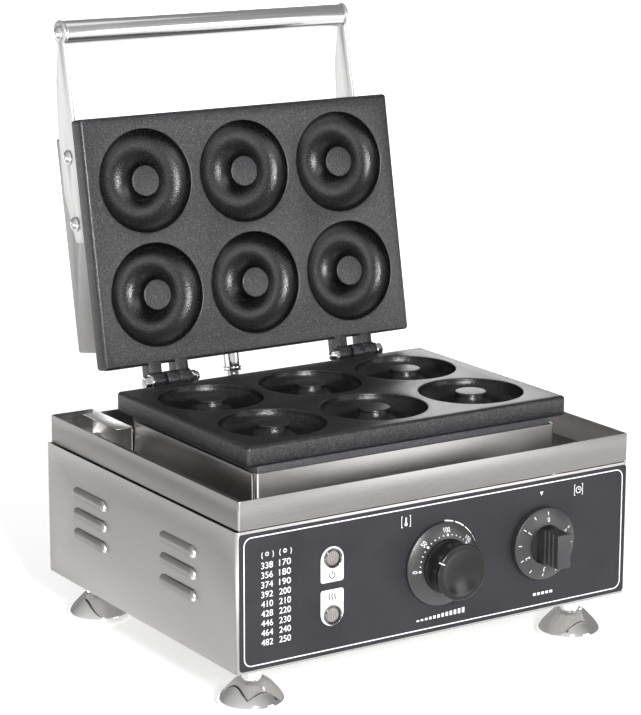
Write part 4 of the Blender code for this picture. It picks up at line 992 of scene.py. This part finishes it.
footShape = {
    "left": -0.1558, "right": 0.1558, "front": -0.1230, "back": 0.1274,
    "top": 0.0397, "studTop": 0.052, "studRadius": 0.004, "stemRadius": 0.0078,
    "bellTop": 0.0222, "neck": 0.0016, "neckFoot": (0.0003, 0.0004), "baseRadius": 0.0236,
    "bell": [(0.0084, 0.0224), (0.0104, 0.0228), (0.0130, 0.0219), (0.0156, 0.0197), (0.0182, 0.0172),
             (0.0208, 0.0146), (0.0231, 0.0121), (0.0250, 0.0096), (0.0261, 0.0079), (0.0267, 0.0063),
             (0.0267, 0.0050), (0.0262, 0.0034), (0.0250, 0.0014), (0.0242, 0.0004)],
}


def makeFoot(size):
    soft, broad = edges["soft"], edges["broad"]
    stud, stem, out, up = size["studRadius"], size["stemRadius"], *size["neckFoot"]
    profile = [(0, size["studTop"]), (stud - soft, size["studTop"]), (stud, size["studTop"] - soft),
               (stud, size["top"]), (stem - broad, size["top"]), (stem, size["top"] - broad),
               (stem, size["bellTop"] + size["neck"]), (stem + out, size["bellTop"] + up)]
    profile += size["bell"] + [(size["baseRadius"], 0), (0, 0)]
    return lathe("footModel", profile, 96)


footModel = makeFoot(footShape)
for word in ("left", "right"):
    for depth in ("front", "back"):
        place = basePlace @ Matrix.Translation((footShape[word], footShape[depth], 0))
        foot = copyOf(footModel, "foot" + depth.title() + word.title(), place)
        node = "foot_" + depth + "_" + word
        dress(foot, node, "litFootChrome", [node])
bpy.data.objects.remove(footModel, do_unlink=True)
print("feet ready")


# Controls on the front wall

ringFace = controls["filmFace"] + controls["gap"] + controls["ringThickness"]


def onFront(x, height, turn=0):
    return frontPlace @ Matrix.Translation((x, height, 0)) @ Matrix.Rotation(math.radians(turn), 4, "Z")


def makeScaleRing(size):
    low = size["filmFace"] + size["gap"]
    hole = size["ringHole"]
    radius = size["ringRadius"]
    rimFace = ringFace - size["ringSlope"] * (radius - size["ringFlat"])
    hair, fine = edges["hair"], edges["fine"]
    profile = [(hole, low), (hole, ringFace), (size["ringFlat"], ringFace)]
    profile += curveArc((radius - fine, rimFace - hair), fine, 64, 0, 4)
    profile += [(radius, low + hair), (radius - hair, low), (hole, low)]
    return lathe("scaleRing", profile, 128)


ring = move(makeScaleRing(controls), onFront(*controls["thermostat"]))
dress(ring, "base", "dialPlastic", ["scale_ring"])


def makeKnob(size):
    low, top, soft = ringFace + size["gap"], size["faceHeight"], edges["soft"]
    bore, boreTop = size["boreRadius"], low + size["boreDepth"]
    base, waist, face = size["knobBase"], size["knobWaist"], size["knobFace"]
    profile = [(0, boreTop), (bore, boreTop), (bore, low), (base - soft, low)]
    profile += curveArc((base - soft, low + soft), soft, -70, 20, 4)
    lowInset, highInset = size["knobInset"]
    for step in range(1, 14):
        share = step / 14
        height = low + size["knobRise"] + (top - size["knobTop"] - low) * share
        edge = base - lowInset if share < 0.5 else face - highInset
        profile.append((waist + (edge - waist) * abs(share * 2 - 1) ** size["waistPower"], height))
    profile += curveArc((face - size["knobEdge"], top - size["knobEdge"]), size["knobEdge"], 0, 90, 6)
    rim = size["dishRadius"] + size["dishRim"]
    for step in range(13):
        share = step / 12
        profile.append((rim * (1 - share), top - size["dishDepth"] * (1 - (1 - share) ** 2)))
    return lathe("thermostatKnob", profile, 128)


knobPlace = onFront(*controls["thermostat"], controls["knobTurn"])
knob = move(makeKnob(controls), knobPlace)
dress(knob, "thermostat_knob", "knobPlastic", ["thermostat_knob"], 40)


def makeTimerDial(size):
    low = size["filmFace"] + size["gap"]
    face = low + size["dialThickness"]
    recess = face - size["recessDepth"]
    radius, pit = size["dialRadius"], size["recessRadius"]
    hair, soft, broad = edges["hair"], edges["soft"], edges["broad"]
    rimFace = face - size["dialSlope"] * (radius - size["dialFlat"])
    profile = [(0, recess), (pit - broad, recess), (pit, recess + broad), (pit, face - soft)]
    profile += curveArc((pit + soft, face - soft), soft, 180, 90, 3) + [(size["dialFlat"], face)]
    profile += curveArc((radius - soft, rimFace - hair), soft, 62, 0, 4)
    profile += [(radius, low + hair), (radius - hair, low), (0, low)]
    dial = lathe("timerKnob", profile, 128)

    wide, tall = size["gripHalfWidth"], size["gripHalfHeight"]
    deep, slit = size["grooveHalfDepth"], size["grooveHalfWidth"]
    grip = addBox("grip", (-wide, -tall, recess - size["gripSink"]), (wide, tall, size["gripHeight"]))
    grooves = []
    for x in (-wide, wide):
        for row in range(size["grooves"]):
            z = size["gripHeight"] - size["grooveTop"] - row * size["groovePitch"]
            near, far = (x - deep, -tall * 2, z - slit), (x + deep, tall * 2, z + slit)
            grooves.append(addBox("groove", near, far))
    cutWith(grip, grooves)
    roundEdges(grip, edges["fine"], 3, 40)
    cutWith(dial, [grip], "UNION")
    bore = addRod("timerBore", size["boreRadius"], low - size["over"], low + size["boreDepth"], 32)
    cutWith(dial, [bore])
    return dial


dial = move(makeTimerDial(controls), onFront(*controls["timer"]))
dress(dial, "timer_knob", "dialPlastic", ["timer_knob"], 32)


def makeLamp(word, height, size):
    low = size["filmFace"] + size["gap"]
    top = low + size["bezelHeight"]
    back = -size["lampLength"]
    inner, outer, body = size["lensRadius"] + size["gap"], size["bezelRadius"], size["lampBody"]
    hair, soft, broad = edges["hair"], edges["soft"], edges["broad"]
    profile = [(inner, back), (inner, top - size["bezelLip"]), (inner + hair, top - size["bezelLipEdge"]),
               (inner + soft, top)]
    profile += curveArc((outer - broad, top - broad), broad, 80, 0, 5)
    profile += [(outer, low), (body, low), (body, back), (inner, back)]
    bezel = move(lathe(word + "Bezel", profile, 72), onFront(size["lampX"], height))
    dress(bezel, "base", "shadedBezelChrome", [word + "_bezel"])

    radius = size["lensRadius"]
    lensTop = top - size["lensDrop"]
    shoulder = lensTop - size["lensShoulder"]
    profile = [(0, back), (radius, back), (radius, shoulder)]
    for step in range(1, 10):
        turn = math.pi / 2 * step / 9
        profile.append((radius * math.cos(turn), shoulder + size["lensDome"] * math.sin(turn)))
    profile[-1] = (0, profile[-1][1])
    lens = move(lathe(word + "Lens", profile, 64), onFront(size["lampX"], height))
    dress(lens, "base", "lensPlastic", [word + "_lens"])


makeLamp("power", controls["powerLamp"], controls)
makeLamp("heat", controls["heatLamp"], controls)
print("controls ready")


# Heating lead: ferrule, hose and gland

leadShape = {
    "ferrule": (0.0825, 0.055), "ferruleLength": 0.0322, "ferruleRadius": 0.0078, "ringRadius": 0.0086,
    "ringWidth": 0.004, "flangeRadius": 0.0125, "flangeThickness": 0.0016, "bore": 0.0052,
    "glandHeight": 0.060, "glandReach": 0.010, "nutRadius": 0.0125, "nutHeight": 0.0055,
    "bodyRadius": 0.0088, "inside": 0.006, "wall": 0.0012, "gap": 0.0003, "over": 0.001,
    "mouthEdge": 0.0004, "boreRoom": 0.0001,
    "mainsX": 0.120, "mainsHeight": 0.064, "mainsRadius": 0.0080, "mainsBore": 0.0040, "mainsReach": 0.014,
    "hoseRadius": 0.0055, "hoseRoundness": 12, "routeSpans": 12, "ribPitch": 0.0026, "ribDepth": 0.0006,
    "ribShares": (0, 0.35, 1, 0.35),
    "route": [
        (0.16533, 0.06000), (0.16950, 0.06000), (0.1845, 0.0637), (0.1985, 0.0740), (0.2082, 0.0893),
        (0.2116, 0.1072), (0.2077, 0.1245), (0.1965, 0.1385), (0.1818, 0.1497), (0.1700, 0.1617),
        (0.1641, 0.1745), (0.16306, 0.18390), (0.16399, 0.18883),
    ],
}


# Points through the route, whose first and last runs stay straight
def smoothRoute(route, spans):
    points = [Vector((0, y + groups["casingCentre"][1], z)) for y, z in route]
    line = [points[0]]
    for before, start, end, after in zip(points, points[1:], points[2:], points[3:]):
        for step in range(spans):
            share = step / spans
            bend = (start * 3 - before - end * 3 + after) * share ** 3
            bend += (before * 2 - start * 5 + end * 4 - after) * share ** 2
            bend += (end - before) * share + start * 2
            line.append(bend / 2)
    return line + points[-2:]


def evenPoints(line, spacing):
    lengths = [0]
    for a, b in zip(line, line[1:]):
        lengths.append(lengths[-1] + (b - a).length)
    count = max(2, round(lengths[-1] / spacing))
    points = []
    segment = 0
    for step in range(count + 1):
        goal = lengths[-1] * step / count
        while segment < len(line) - 2 and lengths[segment + 1] < goal:
            segment += 1
        share = (goal - lengths[segment]) / (lengths[segment + 1] - lengths[segment])
        points.append(line[segment].lerp(line[segment + 1], share))
    return points, lengths[-1]


def makeHose(size):
    spacing = size["ribPitch"] / len(size["ribShares"])
    centres, length = evenPoints(smoothRoute(size["route"], size["routeSpans"]), spacing)
    curve = bpy.data.curves.new("conduitHose", "CURVE")
    curve.dimensions = "3D"
    curve.bevel_depth = size["hoseRadius"]
    curve.bevel_resolution = size["hoseRoundness"]
    curve.use_fill_caps = True
    spline = curve.splines.new("POLY")
    spline.points.add(len(centres) - 1)
    groove = size["ribDepth"] / size["hoseRadius"]
    for index, (point, centre) in enumerate(zip(spline.points, centres)):
        point.co = (*centre, 1)
        point.radius = 1 - groove * size["ribShares"][index % len(size["ribShares"])]
    drawn = bpy.data.objects.new("conduitHose", curve)
    bpy.context.scene.collection.objects.link(drawn)
    pick(drawn)
    bpy.ops.object.convert(target="MESH")
    bpy.ops.object.mode_set(mode="EDIT")
    bpy.ops.mesh.select_all(action="SELECT")
    bpy.ops.mesh.remove_doubles(threshold=welds["sheet"])
    bpy.ops.mesh.normals_make_consistent(inside=False)
    bpy.ops.object.mode_set(mode="OBJECT")
    bpy.ops.object.shade_smooth_by_angle(angle=math.radians(50))
    hose = bpy.context.object
    hose.data.materials.clear()
    hose.data.materials.append(finishes["hoseMetal"])
    return hose, centres, length


hose, hoseLine, hoseLength = makeHose(leadShape)
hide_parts("conduit_hose")
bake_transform(hose)


def makeFerrule(size):
    length, ringLow = size["ferruleLength"], size["ferruleLength"] - size["ringWidth"]
    gap, flange = size["gap"], size["gap"] + size["flangeThickness"]
    tube, wide, ring = size["ferruleRadius"], size["flangeRadius"], size["ringRadius"]
    hair, fine, soft = edges["hair"], edges["fine"], edges["soft"]
    profile = [(size["bore"], -size["inside"]), (tube, -size["inside"]), (tube, gap), (wide, gap),
               (wide, flange - fine), (wide - fine, flange), (tube + soft, flange), (tube, flange + soft),
               (tube, ringLow - hair), (ring - size["mouthEdge"], ringLow)]
    profile += curveArc((ring - soft, ringLow + soft), soft, -60, 0, 3)
    profile += curveArc((ring - soft, length - soft), soft, 0, 90, 3)
    profile += [(size["bore"], length), (size["bore"], -size["inside"])]
    return lathe("conduitFerrule", profile, 72)


backwards = Matrix.Rotation(-math.pi / 2, 4, "X")
ferruleSpot = Matrix.Translation((0, *lidSpot(*leadShape["ferrule"])))
ferrule = move(makeFerrule(leadShape), lidPlace @ ferruleSpot @ backwards)
dress(ferrule, "lid", "chrome", ["conduit_ferrule"])


def makeGland(name, size, reach, radius, bore, hexagonal):
    low, gap, height = -size["wall"] - size["inside"], size["gap"], size["nutHeight"]
    hair, soft, broad, mouth = edges["hair"], edges["soft"], edges["broad"], size["mouthEdge"]
    profile = [(bore, low), (radius, low), (radius, reach - soft), (radius - soft, reach),
               (bore + mouth, reach), (bore, reach - mouth), (bore, low)]
    body = lathe(name, profile, 64)
    if hexagonal:
        nut = makeHexBlock("glandNut", size["nutRadius"], gap, height)
    else:
        rim = radius + height / 2
        profile = [(0, gap), (rim - hair, gap), (rim, gap + hair), (rim, height - broad),
                   (rim - broad, height), (0, height)]
        nut = lathe("glandRim", profile, 64)
    cutWith(nut, [addRod("glandBore", bore + size["boreRoom"], -size["over"], height + size["over"], 64)])
    cutWith(body, [nut], "UNION")
    return body


gland = makeGland("conduitGland", leadShape, leadShape["glandReach"], leadShape["bodyRadius"],
                  leadShape["bore"], True)
move(gland, backPlace @ Matrix.Translation((0, leadShape["glandHeight"], 0)))
dress(gland, "base", "chrome", ["conduit_gland"])
mains = makeGland("mainsGland", leadShape, leadShape["mainsReach"], leadShape["mainsRadius"],
                  leadShape["mainsBore"], False)
move(mains, backPlace @ Matrix.Translation((leadShape["mainsX"], leadShape["mainsHeight"], 0)))
dress(mains, "base", "innerPlastic", ["mains_gland"])
print("heating lead ready")


# Prints on the front film, the scale ring and the two knobs

printShape = {
    "thickness": 0.00012, "textSwell": 0.004, "textExtrude": 0.01, "textWidthShare": 0.92,
    "border": {"half": 0.1824, "low": 0.0052, "high": 0.1082, "corner": 0.007, "line": 0.0009},
    "table": {
        "left": -0.1668, "right": -0.1403, "top": 0.0840, "pitch": 0.00768, "height": 0.0051, "width": 0.0105,
        "rows": [(338, 170), (356, 180), (374, 190), (392, 200), (410, 210), (428, 220), (446, 230),
                 (464, 240), (482, 250)],
        "headShare": 1.05, "bracketRadius": 0.0052, "bracketSpan": 30, "bracketFar": 0.0008,
        "bracketNear": 0.0002, "ringLift": 0.0008, "ringOuter": 0.0017, "ringInner": 0.0010,
    },
    "labels": {"x": (-0.1132, -0.0922), "upper": (0.0603, 0.0889), "lower": (0.0249, 0.0543),
               "corner": 0.0022, "lampRoom": 0.0004},
    "squareBrackets": {"places": ((-0.034, 0.0976), (0.1365, 0.0973)), "half": 0.0044, "arm": 0.0032,
                       "tall": 0.0047, "line": 0.0005},
    "thermometer": {"x": -0.034, "half": 0.0007, "low": 0.0963, "high": 0.1011, "footCorner": 0.0004,
                    "slot": (0.0991, 0.0005, 0.0024), "bulb": (0.0953, 0.0014)},
    "clock": {"place": (0.1365, 0.0971), "outer": 0.0029, "inner": 0.0023, "line": 0.0005,
              "longHand": (0.0008, 0.0018), "shortHand": (0.0007, 0.0015)},
    "timerMark": [(0.0987, 0.0981), (0.1004, 0.1013), (0.0970, 0.1013)],
    "rise": {"bars": 12, "left": -0.0218, "pitch": 0.0040, "low": 0.0128, "width": 0.0024,
             "shortest": 0.0014, "growth": 0.0030},
    "dashes": {"bars": 5, "left": 0.0935, "pitch": 0.0042, "y": 0.0150, "width": 0.0028, "height": 0.0022},
    "arc": {"radius": 0.0348, "line": 0.0011, "runs": ((5, 19), (22, 38), (40.5, 56), (58.5, 76))},
    "powerSign": {"y": 0.0658, "radius": 0.0025, "line": 0.0010, "open": 42, "barY": 0.0679, "bar": 0.0028},
    "heatSign": {"pitch": 0.0026, "swing": 0.0005, "wave": 0.7, "low": 0.0458, "rise": 0.00048, "steps": 12,
                 "halfLine": 0.0005},
    "scale": {"numbers": ((-93, "0"), (-45, "50"), (3, "100"), (51, "150"), (99, "200"), (147, "250")),
              "end": 179, "dots": 5, "numberRadius": 0.0287, "dotRadius": 0.0250, "height": 0.0037,
              "dot": 0.00050, "bigDot": 0.00100},
    "timerScale": {"ticks": 11, "step": 30, "tickIn": 0.0243, "tickOut": 0.0272, "tick": 0.0007,
                   "numberRadius": 0.0207, "height": 0.0037, "turn": -5},
    "pointer": {"low": 0.0192, "past": 0.0002, "width": 0.0011, "deep": 0.0036, "proud": 0.0001},
}


def roundedLoop(left, right, low, high, corners, steps=7):
    bottomLeft, bottomRight, topRight, topLeft = corners
    loop = curveArc((left + bottomLeft, low + bottomLeft), bottomLeft, 180, 270, steps)
    loop += curveArc((right - bottomRight, low + bottomRight), bottomRight, 270, 360, steps)
    loop += curveArc((right - topRight, high - topRight), topRight, 0, 90, steps)
    loop += curveArc((left + topLeft, high - topLeft), topLeft, 90, 180, steps)
    return loop


def ringLoops(x, y, outer, inner, steps=28):
    loops = [curveArc((x, y), outer, 0, 360 - 360 / steps, steps - 1)]
    if inner:
        loops.append(curveArc((x, y), inner, 0, 360 - 360 / steps, steps - 1))
    return loops


def barLoop(x, y, width, height, turn=0):
    a, b = width / 2, height / 2
    cosine, sine = math.cos(math.radians(turn)), math.sin(math.radians(turn))
    corners = [(-a, -b), (a, -b), (a, b), (-a, b)]
    return [(x + across * cosine - up * sine, y + across * sine + up * cosine) for across, up in corners]


# An arc band from one clock angle to another, measured clockwise from the top
def bandLoop(x, y, radius, line, start, end, steps=12):
    outer = curveArc((x, y), radius + line / 2, 90 - start, 90 - end, steps)
    inner = curveArc((x, y), radius - line / 2, 90 - end, 90 - start, steps)
    return outer + inner


def drawNumber(words, x, y, height, turn=0, width=None):
    leaveEditing()
    bpy.ops.object.text_add()
    label = bpy.context.object
    label.data.body = words
    label.data.align_x = "CENTER"
    label.data.align_y = "CENTER"
    label.data.offset = printShape["textSwell"]
    label.data.extrude = printShape["textExtrude"]
    bpy.ops.object.convert(target="MESH")
    label = bpy.context.object
    corners = [vert.co for vert in label.data.vertices]
    low = [min(corner[axis] for corner in corners) for axis in range(3)]
    high = [max(corner[axis] for corner in corners) for axis in range(3)]
    tall = height / (high[1] - low[1])
    wide = width / (high[0] - low[0]) if width else tall * printShape["textWidthShare"]
    deep = printShape["thickness"] / (high[2] - low[2])
    middle = [-(a + b) / 2 for a, b in zip(low, high)]
    shape = Matrix.Diagonal((wide, tall, deep, 1)) @ Matrix.Translation(middle)
    return move(label, Matrix.Translation((x, y, 0)) @ Matrix.Rotation(math.radians(turn), 4, "Z") @ shape)


def drawPrint(name, loops):
    return drawFlat(name, loops, printShape["thickness"])


# Prints past the flat radius follow the slope of the skirt that they lie on
def layPrint(name, shapes, place, depth, body, ink, flat=1, slope=0):
    sheet = mergeInto(name, shapes)
    applyPlace(sheet)
    for vert in sheet.data.vertices:
        vert.co.z -= slope * max(0, vert.co.xy.length - flat)
    move(sheet, place @ Matrix.Translation((0, 0, depth + printShape["thickness"] / 2)))
    return dress(sheet, body, ink, angle=0)


def drawBorder(size):
    half, low, high, corner, line = (size[key] for key in ("half", "low", "high", "corner", "line"))
    outer = roundedLoop(-half, half, low, high, [corner] * 4)
    inner = roundedLoop(-half + line, half - line, low + line, high - line, [corner - line] * 4)
    return [drawPrint("border", [outer, inner])]


# Two columns of plain numbers, each under a small ring in round brackets
def drawTable(size):
    shapes = []
    middles = (size["left"] + size["width"] / 2, size["right"] - size["width"] / 2)
    for row, numbers in enumerate(size["rows"]):
        y = size["top"] - row * size["pitch"]
        for x, number in zip(middles, numbers):
            shapes.append(drawNumber(str(number), x, y, size["height"], 0, size["width"]))
    y = size["top"] + size["pitch"] * size["headShare"]
    radius, span = size["bracketRadius"], size["bracketSpan"]
    down, back = curveArc((0, 0), radius, span, -span), curveArc((0, 0), radius, -span, span)
    for x in middles:
        for side in (-1, 1):
            loop = [(x + size["bracketFar"] + side * a, y + b) for a, b in down]
            loop += [(x + size["bracketNear"] + side * a, y + b) for a, b in back]
            shapes.append(drawPrint("bracket", [loop]))
        ring = ringLoops(x, y + size["ringLift"], size["ringOuter"], size["ringInner"], 18)
        shapes.append(drawPrint("ring", ring))
    return shapes


# White labels round the lamps, each a half circle at the lamp's end
def drawLabels(size):
    left, right = size["x"]
    pill, small = (right - left) / 2, size["corner"]
    hole = controls["lampBody"] + size["lampRoom"]
    shapes = []
    for key, corners, lamp in (("upper", (small, small, pill, pill), "powerLamp"),
                               ("lower", (pill, pill, small, small), "heatLamp")):
        loops = [roundedLoop(left, right, *size[key], corners, 10)]
        loops += ringLoops(controls["lampX"], controls[lamp], hole, 0)
        shapes.append(drawPrint("label", loops))
    return shapes


# A thermometer and a clock in square brackets, and a pointer over the timer
def drawPictograms(shape):
    shapes = []
    size = shape["squareBrackets"]
    half, arm, tall, line = (size[key] for key in ("half", "arm", "tall", "line"))
    for x, y in size["places"]:
        for side in (-1, 1):
            corners = [(half, -tall), (arm, -tall), (arm, line - tall), (half - line, line - tall),
                       (half - line, tall - line), (arm, tall - line), (arm, tall), (half, tall)]
            shapes.append(drawPrint("squareBracket", [[(x + side * a, y + b) for a, b in corners]]))
    size = shape["thermometer"]
    x, half, foot = size["x"], size["half"], size["footCorner"]
    tube = roundedLoop(x - half, x + half, size["low"], size["high"], [foot, foot, half, half], 4)
    shapes.append(drawPrint("thermometerTube", [tube, barLoop(x, *size["slot"])]))
    shapes.append(drawPrint("thermometerBulb", ringLoops(x, *size["bulb"], 0)))
    size = shape["clock"]
    x, y = size["place"]
    up, long = size["longHand"]
    across, short = size["shortHand"]
    shapes.append(drawPrint("clockFace", ringLoops(x, y, size["outer"], size["inner"])))
    shapes.append(drawPrint("clockLongHand", [barLoop(x, y + up, size["line"], long)]))
    shapes.append(drawPrint("clockShortHand", [barLoop(x + across, y, short, size["line"])]))
    shapes.append(drawPrint("timerMark", [shape["timerMark"]]))
    return shapes


# Plain bars where the captions stand: rising for the temperature, even for the timer
def drawCaptions(shape):
    shapes = []
    size = shape["rise"]
    for step in range(size["bars"]):
        height = size["shortest"] + size["growth"] * step / (size["bars"] - 1)
        x = size["left"] + step * size["pitch"]
        shapes.append(drawPrint("rise", [barLoop(x, size["low"] + height / 2, size["width"], height)]))
    size = shape["dashes"]
    for step in range(size["bars"]):
        x = size["left"] + step * size["pitch"]
        shapes.append(drawPrint("dash", [barLoop(x, size["y"], size["width"], size["height"])]))
    size = shape["arc"]
    for start, end in size["runs"]:
        band = bandLoop(*controls["thermostat"], size["radius"], size["line"], start, end)
        shapes.append(drawPrint("warmArc", [band]))
    return shapes


panelShapes = drawBorder(printShape["border"]) + drawTable(printShape["table"])
panelShapes += drawLabels(printShape["labels"]) + drawPictograms(printShape) + drawCaptions(printShape)
layPrint("panelPrint", panelShapes, frontPlace, controls["filmFace"], "base", "whiteInk")


# Dark signs on the white labels: a power sign and rising heat
def drawSigns(shape):
    x = sum(shape["labels"]["x"]) / 2
    size = shape["powerSign"]
    arc = bandLoop(x, size["y"], size["radius"], size["line"], size["open"], 360 - size["open"], 24)
    signs = [drawPrint("powerRing", [arc])]
    signs.append(drawPrint("powerBar", [barLoop(x, size["barY"], size["line"], size["bar"])]))
    size = shape["heatSign"]
    half = size["halfLine"]
    for column in (-1, 0, 1):
        wave = [(x + column * size["pitch"] + size["swing"] * math.sin(step * size["wave"]),
                 size["low"] + step * size["rise"]) for step in range(size["steps"])]
        loop = [(a - half, b) for a, b in wave] + [(a + half, b) for a, b in reversed(wave)]
        signs.append(drawPrint("heatWave", [loop]))
    return signs


layPrint("labelSigns", drawSigns(printShape), frontPlace, controls["filmFace"] + printShape["thickness"],
         "base", "darkInk")


# Numbers every fifth dot; after the last number only its own dot follows
def drawScale(size):
    shapes = []
    for turn, words in size["numbers"]:
        x, y = math.sin(math.radians(turn)), math.cos(math.radians(turn))
        radius = size["numberRadius"]
        shapes.append(drawNumber(words, x * radius, y * radius, size["height"], -turn))
    turns = [turn for turn, words in size["numbers"]]
    for start, end in zip(turns, turns[1:] + [size["end"]]):
        for step in range(size["dots"] if start < turns[-1] else 1):
            angle = math.radians(start + (end - start) * step / size["dots"])
            x, y = math.sin(angle) * size["dotRadius"], math.cos(angle) * size["dotRadius"]
            shapes.append(drawPrint("dot", ringLoops(x, y, size["dot"] if step else size["bigDot"], 0, 14)))
    return shapes


layPrint("ringPrint", drawScale(printShape["scale"]), onFront(*controls["thermostat"]), ringFace, "base",
         "whiteInk", controls["ringFlat"], controls["ringSlope"])


def drawTimerScale(size):
    shapes = []
    middle, length = (size["tickIn"] + size["tickOut"]) / 2, size["tickOut"] - size["tickIn"]
    for step in range(size["ticks"]):
        turn = step * size["step"]
        x, y = -math.sin(math.radians(turn)), math.cos(math.radians(turn))
        shapes.append(drawPrint("tick", [barLoop(x * middle, y * middle, size["tick"], length, turn)]))
        if step % 2 == 0:
            radius = size["numberRadius"]
            shapes.append(drawNumber(str(step // 2), x * radius, y * radius, size["height"], turn))
    return shapes


timerScale = printShape["timerScale"]
dialFace = controls["filmFace"] + controls["gap"] + controls["dialThickness"]
layPrint("timerPrint", drawTimerScale(timerScale), onFront(*controls["timer"], timerScale["turn"]), dialFace,
         "timer_knob", "whiteInk", controls["dialFlat"], controls["dialSlope"])


# The white line on the knob's rim runs over its edge
def makePointer(size):
    top, half = controls["faceHeight"], size["width"] / 2
    mark = addBox("pointerLine", (-half, size["low"], top - size["deep"]),
                  (half, controls["knobFace"] + size["past"], top + size["proud"]))
    roundEdges(mark, edges["hair"], 2)
    return move(mark, knobPlace)


dress(makePointer(printShape["pointer"]), "thermostat_knob", "whiteInk")
print("prints ready")


# Finishes of the CAD nodes that stay

screws = ["base_screw_" + str(index) for index in (1, 2, 3, 4)]
posts = ["pan_post_" + depth + "_" + word for depth in ("front", "back") for word in ("left", "right")]
nodeFinishes = {
    "overlayFilm": ["front_overlay"],
    "innerSteel": ["base_plate", "top_deck", "lower_heater_clamp", "upper_heater_clamp"],
    "heaterSheath": ["lower_heater", "upper_heater"],
    "insulationBoard": ["lower_insulation", "upper_insulation"],
    "innerPlastic": ["thermostat_body", "timer_body"],
    "terminalCeramic": ["terminal_block"],
    "chrome": ["thermostat_spindle", "timer_spindle"] + screws + posts,
}
for finish, names in nodeFinishes.items():
    for name in names:
        node = cadNodes[name]
        node.data.materials.clear()
        node.data.materials.append(finishes[finish])


def makeFloor(settings):
    leaveEditing()
    bpy.ops.mesh.primitive_plane_add(size=settings["floorSize"], location=(0, 0, settings["floorHeight"]))
    floor = bpy.context.object
    floor.name = "floor"
    floor.data.materials.append(finishes["floorPaint"])


# Cards lie on the floor at the left and in front, seen only as reflections in the steel and the chrome
def makeCard(name, card):
    leaveEditing()
    bpy.ops.mesh.primitive_plane_add(size=1, location=(*card["place"], studio["cardHeight"]))
    sheet = bpy.context.object
    sheet.name = name + "Card"
    sheet.scale = (*card["size"], 1)
    sheet.rotation_euler = (0, 0, math.radians(card["turn"]))
    sheet.visible_camera = False
    sheet.visible_shadow = False
    sheet.visible_diffuse = False
    sheet.data.materials.append(finishes[name + "CardPaint"])


makeFloor(studio)
for cardName, card in studio["cards"].items():
    makeCard(cardName, card)
leaveEditing()
print("scene ready")
